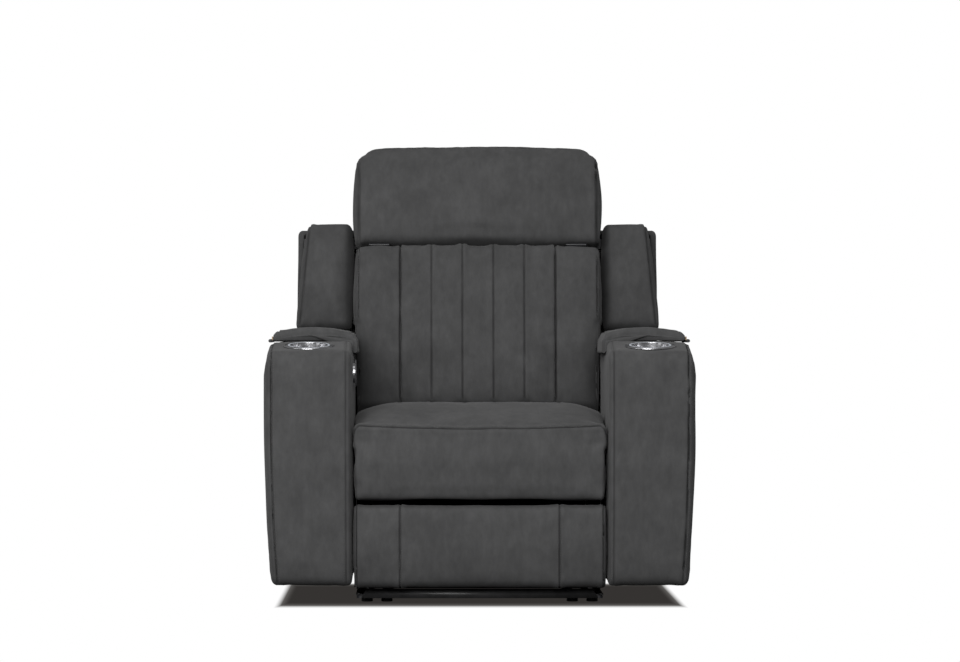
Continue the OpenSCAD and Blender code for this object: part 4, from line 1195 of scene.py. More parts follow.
@dataclass
class Wing(Padded):
    """Padded wing at one side of the back."""

    side: Side = Side.LEFT
    inner: float = 0.2998
    outer: float = 0.443
    low: float = 0.326
    top: float = 0.596
    boxing: float = 0.431

    def skin(self) -> Skin:
        """Draws the wing's skin."""
        inner, outer, low, top = self.inner, self.outer, self.low, self.top
        outline = rounded([(-0.0838, low, 0.02), (-0.0128, low, 0.008), (-0.0128, top, 0.01),
                           (-0.0838, top, 0.026)])

        def reshape(x: float, ring: Points) -> Points:
            share = (x - inner) / (outer - inner)
            swell_share = 4 * share * (1 - share)
            front = np.clip((-0.0128 - ring[:, 0]) / 0.071, 0, 1) ** 3
            middle = 1 - ((ring[:, 1] - 0.46) / 0.16) ** 2
            ring[:, 0] -= 0.006 * front * swell_share * np.clip(middle, 0, 1)
            return ring

        def warp(points: Points) -> Points:
            reach = 0.4435 - (points[:, 2] - low) / (top - low) * 0.028
            points[:, 0] = inner + (points[:, 0] - inner) * (reach - inner) / (outer - inner)
            return points

        return Skin(f"{self.name}_cover", outline, inner, outer, EndRadii(0.026, 0.01, 0.014, 0.022),
                    EndRadii(0.026, 0.012, 0.020, 0.030), crown=0.002, stations=(self.boxing,),
                    reshape=reshape, warp=warp, side=self.side.value, pose=self.layout.back)

    def rows(self, skin: Skin, surface: BVHTree) -> list[SewnRow]:
        """Places the boxing seam along the outer edge and the top."""
        side = skin.station_line(self.boxing, self.leaning_test(-0.03, above=self.low + 0.014))
        return [SewnRow(side, SeamStyle(0.0022, 0.0022, pucker=0.0006))]


class Headrest(Padded):
    """Headrest pad with a boxed front panel."""

    half: float = 0.299
    boxing: float = 0.288
    piping: tuple[float, float] = (-0.130, 0.767)

    def skin(self) -> Skin:
        """Draws the pad's skin."""
        outline = rounded([(-0.1468, 0.527, 0.017), (-0.0268, 0.527, 0.012), (-0.0268, 0.771, 0.030),
                           (-0.1468, 0.771, 0.042)])

        def reshape(x: float, ring: Points) -> Points:
            front = np.clip((-0.0268 - ring[:, 0]) / 0.12, 0, 1) ** 3
            crown = 1 - ((ring[:, 1] - 0.649) / 0.122) ** 2
            across = 1 - (x / self.half) ** 2
            ring[:, 0] -= front * (0.009 * np.clip(crown, 0, 1) * (0.35 + 0.65 * across))
            ring[:, 1] += smoothstep(0.68, 0.771, ring[:, 1]) * (0.006 * across - 0.003)
            return ring

        return Skin("headrest_cover", outline, -self.half, self.half, EndRadii(0.030, 0.02, 0.016, 0.060),
                    crown=0.002, stations=(-self.boxing, self.boxing), marks=(self.piping,), reshape=reshape,
                    pose=self.layout.back)

    def rows(self, skin: Skin, surface: BVHTree) -> list[SewnRow]:
        """Places the boxing seam over the top and down both sides."""
        top = skin.ring_line(self.piping, lambda row: np.abs(row[:, 0]) < self.boxing - 0.024)
        rows = [SewnRow(top, SeamStyle(0.0026, 0.002, pucker=0.0007, pucker_length=0.02), (0.006,))]
        for sign in (-1, 1):
            side = skin.station_line(sign * self.boxing, self.leaning_test(-0.08, below=0.74))
            rows.append(SewnRow(side, SeamStyle(0.0022, 0.002, pucker=0.0006)))
        return rows


class FootrestPad(Padded):
    """Footrest panel with a middle field between double seams and a corded edge."""

    half: float = 0.2925
    seam: float = 0.185
    edge: float = 0.2865

    def skin(self) -> Skin:
        """Draws the pad's skin."""
        outline = rounded(self.layout.ahead((12, 34, 18), (64, 34, 6), (64, 227, 6), (12, 227, 18), (9, 130, 120)))

        def reshape(x: float, ring: Points) -> Points:
            front = np.clip((self.layout.front + 0.064 - ring[:, 0]) / 0.055, 0, 1) ** 3
            field_half = self.seam
            share = (x / field_half) ** 2 if abs(x) < field_half else \
                ((abs(x) - (self.half + field_half) / 2) / ((self.half - field_half) / 2)) ** 2
            ring[:, 0] -= 0.0035 * front * max(0.0, 1 - share)
            return ring

        return Skin("footrest_cover", outline, -self.half, self.half, EndRadii(0.011, 0.006, 0.010, 0.010),
                    crown=0.0015, stations=mirrored((self.seam, self.edge)), reshape=reshape)

    def rows(self, skin: Skin, surface: BVHTree) -> list[SewnRow]:
        """Places the two double seams and the edge seams."""
        front = self.layout.front
        rows = []
        for sign in (-1, 1):
            line = skin.station_line(sign * self.seam, self.ahead_test(front + 0.05, -1))
            rows.append(SewnRow(line, SeamStyle(0.0030, 0.0022, pucker=0.0008), Stitching.DOUBLE.value))
            edge = skin.station_line(sign * self.edge, self.ahead_test(front + 0.05, -1))
            rows.append(SewnRow(edge, SeamStyle(0.0020, 0.0020, pucker=0.0004)))
        return rows


@dataclass
class Arm(Padded):
    """Upholstered arm: sloping deck with a cup holder, a bin opening and a hollow below."""

    side: Side = Side.LEFT
    seams: tuple[float, float] = (0.3106, 0.4826)
    wall: float = 0.022

    def skin(self) -> Skin:
        """Draws the arm's skin."""
        lay = self.layout
        outline = rounded(lay.ahead((0, 38, 16), (730, 38, 16), (730, 605, 16), (172, 605, 60), (0, 582, 26)))

        def reshape(x: float, ring: Points) -> Points:
            share = (x - lay.inner) / (lay.outer - lay.inner)
            front = smoothstep(lay.front + 0.03, lay.front, ring[:, 0])
            belly = 1 - ((ring[:, 1] - 0.33) / 0.29) ** 2
            ring[:, 0] -= 0.003 * front * max(0.0, 4 * share * (1 - share)) * np.clip(belly, 0, 1)
            return ring

        def warp(points: Points) -> Points:
            share = (points[:, 0] - lay.inner) / (lay.outer - lay.inner)
            low = np.clip((0.430 - points[:, 2]) / 0.392, 0, None)
            points[:, 0] += share * (0.0016 - 0.017 * low ** 2)
            return points

        return Skin(f"{self.name}_cover", outline, lay.inner, lay.outer, EndRadii(0.014, 0.016, 0.010, 0.012),
                    EndRadii(0.016, 0.016, 0.014, 0.032), crown=0.0, stations=self.seams, coarse=0.008,
                    marks=(), reshape=reshape, warp=warp, side=self.side.value)

    def rows(self, skin: Skin, surface: BVHTree) -> list[SewnRow]:
        """Places the seams on both sides of the front panel, up over the deck and down the rear."""
        lay = self.layout
        rows = []
        for place in self.seams:
            front = skin.station_line(place, self.ahead_test(lay.front + 0.176, -1, lay.foot + 0.004))
            rear = skin.station_line(place, self.ahead_test(lay.rear - 0.012, 1, lay.foot + 0.004))
            inside = 1 if place == self.seams[0] else -1
            offset = 0.0055 * inside
            rows.append(SewnRow(front, SeamStyle(0.0015, 0.0018, pucker=0.0005, pucker_length=0.018), (offset,)))
            rows.append(SewnRow(rear, SeamStyle(0.0025, 0.0022, pucker=0.0005), (offset,)))
        return rows

    def open_up(self, piece: Piece) -> None:
        """Cuts the hollow, the bin's opening, the cup's bore and the control's bore."""
        lay, sign = self.layout, self.side.value

        def across(first: float, second: float) -> tuple[float, float]:
            return (min(sign * first, sign * second), max(sign * first, sign * second))

        low, high = across(lay.inner + self.wall, lay.outer - 0.018 - self.wall)
        hollow = block("hollow", (low, lay.front + self.wall, -0.01), (high, lay.rear - self.wall, 0.558))
        bin_low, bin_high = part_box(f"storage_bin_{self.side.word}")
        reach = 0.0095
        opening = block("opening", (bin_low.x + reach, bin_low.y + reach, 0.40),
                        (bin_high.x - reach, bin_high.y - reach, 0.70))
        bore = turned("bore", ((0, -0.09), (0.044, -0.09), (0.044, 0.03), (0, 0.03)), cup_matrix(self.side), 64)
        cutters = [hollow, opening, bore]
        if self.side is Side.LEFT:
            low_place, high_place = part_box("control_ring")
            middle = (low_place + high_place) / 2
            place = Matrix.Translation((-lay.inner, middle.y, middle.z)) @ Matrix.Rotation(math.pi / 2, 4, "Y")
            cutters.append(turned("barrel", ((0, -0.03), (0.0245, -0.03), (0.0245, 0.02), (0, 0.02)), place, 64))
        for cutter in cutters:
            outward(cutter)
        carve(piece, cutters)


def cup_matrix(side: Side) -> Matrix:
    """Gives the matrix that lays a cup holder on its sloping deck."""
    lean = Matrix.Rotation(math.radians(DECK_SLOPE), 4, "X")
    return Matrix.Translation(cup_centre(side)) @ lean @ Matrix.Translation((0, 0, -CUP_LIGHT_RISE))


@dataclass
class LidPad(Padded):
    """Padded top of a storage lid, with a soft lip down the arm's inner side."""

    side: Side = Side.LEFT
    seams: tuple[tuple[float, float], ...] = ((0.470, 0.6293), (0.300, 0.6262))

    def skin(self) -> Skin:
        """Draws the pad's skin, from the outer edge over the crown to the lip."""
        outline = rounded([(0.4855, 0.6068, 0.003), (0.4865, 0.622, 0.010), (0.468, 0.6300, 0.02),
                           (0.440, 0.6360, 0.04), (0.395, 0.6395, 0.08), (0.345, 0.6375, 0.06),
                           (0.312, 0.6310, 0.03), (0.296, 0.6245, 0.012), (0.2835, 0.610, 0.014),
                           (0.2820, 0.5775, 0.005), (0.2935, 0.5775, 0.005), (0.2935, 0.6068, 0.0)])
        low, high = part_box(self.nodes[0])
        return Skin(f"{self.name}_cover", outline, low.y, high.y, EndRadii(0.003, 0.008, 0.0006, 0.020), crown=0.002,
                    axis=Axis.Y, coarse=0.006, marks=self.seams, cap_centre=(0.395, 0.620),
                    side=self.side.value)

    def rows(self, skin: Skin, surface: BVHTree) -> list[SewnRow]:
        """Places the seams along the outer edge and along the lip."""
        return [SewnRow(skin.ring_line(seam)[8:-8], SeamStyle(0.0016, 0.0020, pucker=0.0005), (offset,))
                for seam, offset in zip(self.seams, (0.005, -0.005))]

    def open_up(self, piece: Piece) -> None:
        """Lets the lid's board into the pad's underside."""
        low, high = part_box(f"lid_board_{self.side.word}")
        room = 0.0004
        pocket = block("pocket", (low.x - room, low.y - room, low.z - 0.01),
                       (high.x + room, high.y + room, high.z + room))
        outward(pocket)
        carve(piece, [pocket])


# Rear shell


class RearShell:
    """Upholstered shell behind the back: a wide panel, a narrower crown behind the headrest and a skirt."""

    def __init__(self, finishes: Finishes, layout: Layout) -> None:
        """Keeps what the shell is made with."""
        self.finishes = finishes
        self.layout = layout

    def _panel(self, name: str, outline: Points, half: float, radius: float) -> Piece:
        """Builds one padded panel, leaning with the back."""
        skin = Skin(name, outline, -half, half, EndRadii.even(radius), crown=0.0015, coarse=0.009,
                    stations=(-0.2, 0.2), pose=self.layout.back)
        piece = skin.build()
        unevenness(piece, 0.0007, 0.14, 61)
        return piece

    def _cutter(self, low: Sequence[float], high: Sequence[float]) -> Piece:
        """Makes a block in the leaning frame that hollows the shell."""
        cutter = block("cutter", low, high)
        set_points(cutter, self.layout.back.out(mesh_points(cutter.data)))
        return cutter

    def build(self) -> None:
        """Builds, hollows, sews and dresses the shell."""
        wide = self._panel("back_shell_panel", rounded(
            [(-0.0125, 0.330, 0.002), (0.024, 0.326, 0.004), (0.090, 0.108, 0.006), (0.120, 0.108, 0.012),
             (0.120, 0.594, 0.024), (-0.0125, 0.594, 0.010)]), 0.436, 0.012)
        crown = self._panel("back_shell_crown", rounded(
            [(-0.0125, 0.564, 0.002), (0.1195, 0.564, 0.002), (0.120, 0.668, 0.024), (-0.0125, 0.668, 0.012)]),
            0.295, 0.012)
        skirt = self._panel("back_shell_skirt", rounded(
            [(0.105, 0.006, 0.004), (0.120, 0.006, 0.004), (0.120, 0.125, 0.004), (0.105, 0.125, 0.004)]), 0.280, 0.006)
        carve(wide, [self._cutter((-0.421, -0.05, 0.341), (0.421, 0.031, 0.579)),
                     self._cutter((-0.421, 0.030, 0.341), (0.421, 0.105, 0.579)),
                     self._cutter((-0.280, -0.05, 0.10), (0.280, 0.105, 0.66))])
        carve(crown, [self._cutter((-0.280, -0.05, 0.55), (0.280, 0.105, 0.653))])
        lines = {
            wide: [self._line([(x, 0.120, 0.118), (x, 0.120, 0.566)]) for x in (-0.2, 0.2)]
            + [self._line([(-0.428, 0.120, 0.572), (0.428, 0.120, 0.572)])],
            crown: [self._line([(x, 0.120, 0.600), (x, 0.120, 0.648)]) for x in (-0.2, 0.2)]
            + [self._line([(-0.284, 0.104, 0.664), (0.284, 0.104, 0.664)])],
            skirt: [self._line([(-0.272, 0.120, 0.018), (0.272, 0.120, 0.018)])],
        }
        for seed, (piece, seams) in enumerate(lines.items()):
            tree = surface_tree(piece)
            placed = [pressed(tree, line) for line in seams]
            sew(piece, placed, SeamStyle(0.0022, 0.0024, pucker=0.0006), 70 + seed)
            thread = Thread().rows(f"{piece.name}_thread", piece, placed, (0.006,))
            dressed(thread, self.finishes.twine, Body.BACK)
        for piece in (wide, crown, skirt):
            dressed(piece, self.finishes.nubuck, Body.BACK, ("back_shell",))
        self._zip()

    def _line(self, places: Sequence[Place]) -> Points:
        """Places a line of the leaning frame in the seat's frame."""
        return self.layout.back.out(np.array(places))

    def _zip(self) -> None:
        """Adds the closing zip above the skirt, with its tape, teeth and puller."""
        back = self.layout.back
        tape = block("zip_tape", (-0.262, 0.1196, 0.0955), (0.262, 0.1216, 0.1075), 0.0006)
        set_points(tape, back.out(mesh_points(tape.data)))
        dressed(tape, self.finishes.lining, Body.BACK)
        teeth = Repeated("zip_teeth")
        for index in range(172):
            x = -0.2575 + index * 0.003
            shift = 0.0011 if index % 2 else -0.0011
            teeth.add_box((x - 0.0009, 0.1212, 0.1015 + shift - 0.0016),
                          (x + 0.0009, 0.1228, 0.1015 + shift + 0.0016))
        piece = teeth.build(back)
        dressed(piece, self.finishes.plastic, Body.BACK)
        puller = block("zip_puller", (-0.2555, 0.1222, 0.082), (-0.2495, 0.1240, 0.104), 0.0008)
        set_points(puller, back.out(mesh_points(puller.data)))
        dressed(puller, self.finishes.zinc, Body.BACK)


class Repeated:
    """Collects many small boxes into one piece."""

    def __init__(self, name: str) -> None:
        """Starts an empty collection."""
        self.name = name
        self.points: list[Place] = []
        self.faces: list[tuple[int, ...]] = []

    def add_box(self, low: Sequence[float], high: Sequence[float]) -> None:
        """Adds a box with chamfered ends."""
        first = len(self.points)
        inset = 0.2 * min(high[k] - low[k] for k in range(3))
        for depth, edge in ((low[1], 0.0), (high[1] - inset, 0.0), (high[1], inset)):
            for x, z in ((low[0] + edge, low[2] + edge), (high[0] - edge, low[2] + edge),
                         (high[0] - edge, high[2] - edge), (low[0] + edge, high[2] - edge)):
                self.points.append((x, depth, z))
        for row in (0, 4):
            self.faces += band(first + row, first + row + 4, 4)
        self.faces += [tuple(first + k for k in (3, 2, 1, 0)), tuple(first + 8 + k for k in range(4))]

    def build(self, pose: Pose) -> Piece:
        """Builds the piece."""
        piece = new_mesh(self.name, pose.out(np.array(self.points)), self.faces, smooth=False)
        outward(piece)
        return piece


# Hard fittings


class CupHolders:
    """Spun steel cup holders with a stepped flange and a ring of light."""

    def __init__(self, finishes: Finishes) -> None:
        """Keeps the finishes."""
        self.finishes = finishes

    def build(self, side: Side) -> None:
        """Builds one cup holder and its light."""
        place = cup_matrix(side)
        cup = turned(f"cup_{side.word}", (
            (0, -0.0684), (0.034, -0.0684), (0.0398, -0.0672), (0.0417, -0.063), (0.042, -0.058), (0.042, 0.0022),
            (0.0423, 0.0034), (0.0430, 0.0040), (0.0439, 0.0040), (0.0446, 0.0034), (0.0448, 0.0024), (0.0493, 0.0024),
            (0.0495, 0.0033), (0.0502, 0.0040), (0.0512, 0.0041), (0.0522, 0.0034), (0.0530, 0.0022), (0.0540, 0.0019),
            (0.0550, 0.0023), (0.0560, 0.0033), (0.0570, 0.0037), (0.0580, 0.0033), (0.0587, 0.0023), (0.0590, 0.0011),
            (0.0588, 0.0003), (0.0580, 0.0), (0.0436, 0.0), (0.0435, -0.064), (0.0425, -0.0685), (0.038, -0.07),
            (0, -0.07)), place, 128)
        dressed(cup, self.finishes.cups[side], Body.CARRIAGE, (f"cup_holder_{side.word}",))
        light = turned(f"cup_light_ring_{side.word}", (
            (0.0451, 0.0026), (0.0451, 0.0036), (0.0456, 0.0040), (0.0470, 0.0041), (0.0484, 0.0040), (0.0489, 0.0036),
            (0.0489, 0.0026), (0.0451, 0.0026)), place, 128)
        dressed(light, self.finishes.light, Body.CARRIAGE, (f"cup_light_{side.word}",))
        mat = turned(f"cup_mat_{side.word}", (
            (0, -0.0683), (0.037, -0.0683), (0.037, -0.0664), (0.0362, -0.0658), (0.033, -0.0658), (0.032, -0.0663),
            (0.024, -0.0663), (0.023, -0.0658), (0.020, -0.0658), (0.019, -0.0663), (0, -0.0663)), place, 64)
        dressed(mat, self.finishes.lining, Body.CARRIAGE)


class ControlPanel:
    """Control ring on the left arm with its two push buttons."""

    def __init__(self, finishes: Finishes) -> None:
        """Keeps the finishes."""
        self.finishes = finishes

    def build(self) -> None:
        """Builds the bezel and the two button caps."""
        low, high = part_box("control_ring")
        middle = (low + high) / 2
        proud = 0.005
        face = high.x - 0.003 + proud
        place = Matrix.Translation((face, middle.y, middle.z)) @ Matrix.Rotation(math.pi / 2, 4, "Y")
        bezel = turned("control_bezel", (
            (0, -0.005), (0.0218, -0.005), (0.0218, -0.016), (0.024, -0.016), (0.024, 0.0), (0.0312, 0.0),
            (0.0318, 0.0004), (0.0320, 0.0011), (0.0316, 0.0019), (0.0305, 0.0026), (0.0285, 0.0030),
            (0.0262, 0.0029), (0.0242, 0.0022),
            (0.0228, 0.0008), (0.0220, -0.0008), (0.0214, -0.0019), (0.0200, -0.0020), (0, -0.0020)), place, 96)
        outward(bezel)
        bores, caps = [], []
        for node in ("button_open", "button_close"):
            button_low, button_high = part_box(node)
            centre = (button_low + button_high) / 2
            at = Matrix.Translation((face, centre.y, centre.z)) @ Matrix.Rotation(math.pi / 2, 4, "Y")
            bores.append(turned("bore", ((0, -0.02), (0.0071, -0.02), (0.0071, 0.02), (0, 0.02)), at, 48))
            outward(bores[-1])
            out = button_high.x + proud - face
            caps.append((node, turned(f"{node}_cap", (
                (0, out - 0.009), (0.0070, out - 0.009), (0.0070, out - 0.0009), (0.0068, out - 0.0003), (0.0062, out),
                (0.0052, out - 0.0001), (0.0036, out - 0.0005), (0.0018, out - 0.0008), (0, out - 0.0009)), at, 48)))
        carve(bezel, bores)
        smooth_by_angle(bezel, math.radians(35))
        dressed(bezel, self.finishes.trim, Body.CARRIAGE, ("control_ring",))
        for node, cap in caps:
            dressed(cap, self.finishes.buttons, Body(node), (node,))


class Head(Enum):
    """Shapes of a fastener's head."""

    SOCKET = "socket"
    HEX = "hex"


@dataclass(frozen=True)
class Fastener:
    """Small screw or bolt head with a chamfered rim and a washer."""

    radius: float = 0.005
    height: float = 0.0026
    head: Head = Head.SOCKET

    def mesh_at(self, shape: bmesh.types.BMesh, place: Matrix) -> None:
        """Adds one head to a mesh."""
        steps = 24
        angles = [2 * math.pi * k / steps for k in range(steps)]
        folded = [((a + math.pi / 6) % (math.pi / 3)) - math.pi / 6 for a in angles]
        flat = [math.cos(math.pi / 6) / math.cos(a) for a in folded]
        washer = self.radius * 1.35
        round_ = [1.0] * steps
        if self.head is Head.HEX:
            profile = ((washer, -0.0004, round_), (washer, 0.0006, round_), (self.radius, 0.0007, flat),
                       (self.radius, self.height * 0.82, flat), (self.radius * 0.86, self.height, round_),
                       (0.0001, self.height, round_))
        else:
            profile = ((self.radius, -0.0004, round_), (self.radius, self.height * 0.35, round_),
                       (self.radius * 0.86, self.height * 0.78, round_), (self.radius * 0.62, self.height, round_),
                       (self.radius * 0.46, self.height, flat), (self.radius * 0.44, self.height * 0.35, flat),
                       (0.0001, self.height * 0.3, round_))
        rings = [[shape.verts.new(place @ Vector((r * f * math.cos(a), r * f * math.sin(a), z)))
                  for a, f in zip(angles, factor)] for r, z, factor in profile]
        for first, second in zip(rings[:-1], rings[1:]):
            for k in range(steps):
                shape.faces.new((first[k], first[(k + 1) % steps], second[(k + 1) % steps], second[k]))
        shape.faces.new(rings[0][::-1])
        shape.faces.new(rings[-1])

    def row(self, name: str, places: Sequence[tuple[Sequence[float], Sequence[float]]]) -> Piece:
        """Builds several heads as one piece."""
        shape = bmesh.new()
        for spot, out in places:
            turn = Vector((0, 0, 1)).rotation_difference(Vector(out)).to_matrix().to_4x4()
            self.mesh_at(shape, Matrix.Translation(spot) @ turn)
        bmesh.ops.recalc_face_normals(shape, faces=shape.faces)
        return from_shape(shape, name, 30)


@dataclass(frozen=True)
class Lining:
    """Black dust cloth hung from the seat's springs, behind the footrest's links; it also fills the gap between seat
    and footrest with dark in place of the shade there.
    """

    finishes: Finishes
    layout: Layout
    setback: float = 0.3765
    half: float = 0.2893
    low: float = 0.073
    thickness: float = 0.0007
    sway: float = 0.0022
    pitch: float = 0.006

    def build(self) -> None:
        """Hangs the cloth, slack between the springs that it is clipped to."""
        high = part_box("seat_springs")[0].z - 0.0005
        across, up = (np.linspace(start, end, int((end - start) / self.pitch))
                      for start, end in ((-self.half, self.half), (self.low, high)))
        x, z = (part.ravel() for part in np.meshgrid(across, up))
        slack = (high - z) / (high - self.low)
        y = self.layout.front + self.setback + self.sway * slack * np.sin(x * 2 * math.pi / 0.11 + 2.5 * slack)
        face = np.stack([x, y, z], axis=1)
        count, wide = len(face), len(across)
        corners = np.arange(count).reshape(len(up), wide)
        cells = np.stack([corners[:-1, :-1], corners[:-1, 1:], corners[1:, 1:], corners[1:, :-1]], axis=-1)
        cells = cells.reshape(-1, 4)
        rim = np.concatenate([corners[0], corners[1:, -1], corners[-1, -2::-1], corners[-2:0:-1, 0]])
        edges = np.stack([np.roll(rim, -1), rim, rim + count, np.roll(rim, -1) + count], axis=1)
        piece = new_mesh("seat_lining", np.vstack([face, face + (0, self.thickness, 0)]),
                         [*cells.tolist(), *(cells[:, ::-1] + count).tolist(), *edges.tolist()])
        dressed(piece, self.finishes.lining, Body.CARRIAGE)


class Metalwork:
    """Finishes of the solids that keep their shape, with their small fasteners."""

    FRAME = ("base_plate_front", "base_plate_rear", "base_rail_left", "base_rail_right", "side_plate_left",
             "side_plate_right", "cross_rail_front", "cross_rail_rear", "cross_tube_low", "back_frame",
             "headrest_plate", "headrest_hinge", "lid_hinge_left", "lid_hinge_right", "lid_leaf_left", "lid_leaf_right")
    LINKS = ("rear_links", "control_link_left", "control_link_right", "front_links", "outer_link_left",
             "outer_link_right", "footrest_brackets")
    ZINC = ("pivot_pins", "recline_shaft", "glide_rod", "seat_springs")
    PLASTIC = ("slide_blocks", "glide_motor", "footrest_motor", "recline_motor", "power_box", "power_inlet",
               "storage_bin_left", "storage_bin_right")
    BOARD = ("lid_board_left", "lid_board_right", "footrest_board")

    def __init__(self, finishes: Finishes, layout: Layout) -> None:
        """Keeps what the work needs."""
        self.finishes = finishes
        self.layout = layout

    def build(self) -> None:
        """Dresses the kept solids and adds feet and fasteners."""
        groups = ((self.FRAME, self.finishes.frame), (self.LINKS, self.finishes.links), (self.ZINC, self.finishes.zinc),
                  (self.PLASTIC, self.finishes.plastic), (self.BOARD, self.finishes.board))
        for names, material in groups:
            for name in names:
                finish(frame["nodes"][name], material)
        self._flange()
        self._feet()
        self._screws()

    def _flange(self) -> None:
        """Folds the front floor plate up to a low flange that narrows to its top."""
        low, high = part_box("base_plate_front")
        half, narrow, thickness, rise = 0.2755, 0.012, 0.0025, 0.016
        bottom, top = low.z + 0.0005, high.z + rise
        outline = [(-half, bottom), (half, bottom), (half - narrow, top), (narrow - half, top)]
        points = [(x, y, z) for y in (low.y - 0.0003, low.y - 0.0003 - thickness) for x, z in outline]
        edges = [[k, k + 4, (k + 1) % 4 + 4, (k + 1) % 4] for k in range(4)]
        piece = new_mesh("base_flange", np.array(points), [[0, 1, 2, 3], [7, 6, 5, 4], *edges])
        outward(piece)
        dressed(piece, self.finishes.links, Body.BASE)

    def _feet(self) -> None:
        """Turns the round feet: a rubber pad under a moulded collar."""
        low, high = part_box("base_feet")
        radius, height, pair = 0.0135, high.z, 0.046
        plates = [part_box(name) for name in ("base_plate_front", "base_plate_rear")]
        shape = bmesh.new()
        profile = [(radius * share, z) for share, z in (
            (0, 0.0), (0.78, 0.0), (0.92, 0.0006), (1, 0.0020), (1, 0.0046), (0.93, 0.0052), (0.93, 0.0060),
            (0.99, 0.0066), (0.97, height), (0, height))]
        for plate_low, plate_high in plates:
            y = (plate_low.y + plate_high.y) / 2
            for x in (low.x + radius, low.x + radius + pair, high.x - radius - pair, high.x - radius):
                spin(shape, profile, (x, y), 40)
        piece = from_shape(shape, "round_feet", 35)
        dressed(piece, self.finishes.plastic, Body.BASE, ("base_feet",))

    def _screws(self) -> None:
        """Adds bolts to the base, the side plates, the brackets and the hinges."""
        front = self.layout.front
        up, ahead = (0, 0, 1), (0, -1, 0)
        base, hinge, leaves, brackets, sides = [], [], {Side.LEFT: [], Side.RIGHT: []}, [], []
        for name in ("base_plate_front", "base_plate_rear"):
            low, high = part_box(name)
            for sign in (-1, 1):
                for share in (0.28, 0.72):
                    base.append(((sign * 0.2, low.y + (high.y - low.y) * share, high.z), up))
                base.append(((sign * 0.28, (low.y + high.y) / 2, high.z), up))
        for side in Side:
            sign = side.value
            low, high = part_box(f"lid_hinge_{side.word}")
            for share in (0.12, 0.37, 0.63, 0.88):
                y = low.y + (high.y - low.y) * share
                hinge.append(((sign * 0.462, y + 0.004, self.layout.top + 0.0020), up))
            board_low, board_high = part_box(f"lid_board_{side.word}")
            for share in (0.15, 0.5, 0.85):
                y = board_low.y + (board_high.y - board_low.y) * share
                leaves[side].append(((sign * 0.452, y, board_low.z - 0.0020), (0, 0, -1)))
            plate_low, plate_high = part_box(f"side_plate_{side.word}")
            for depth, height in ((0.140, 0.296), (0.330, 0.296), (0.520, 0.296), (0.395, 0.060), (0.650, 0.060),
                                  (0.650, 0.200)):
                sides.append(((sign * 0.290, front + depth, height), (-sign, 0, 0)))
            for depth, height in ((0.079, 0.112), (0.079, 0.165)):
                brackets.append(((sign * 0.236, front + depth, height), (0, 1, 0)))
        bolt, screw = Fastener(0.0065, 0.0042, Head.HEX), Fastener(0.0034, 0.0014)
        rows = (("base_bolts", bolt, base, Body.BASE), ("hinge_screws", screw, hinge, Body.CARRIAGE),
                ("lid_screws_left", screw, leaves[Side.LEFT], Body.LID_LEFT),
                ("lid_screws_right", screw, leaves[Side.RIGHT], Body.LID_RIGHT),
                ("side_bolts", Fastener(0.0055, 0.0032, Head.HEX), sides, Body.CARRIAGE),
                ("bracket_screws", Fastener(0.0042, 0.0022), brackets, Body.FOOTREST))
        for name, kind, places, body in rows:
            dressed(kind.row(name, places), self.finishes.zinc, body)


# Picture


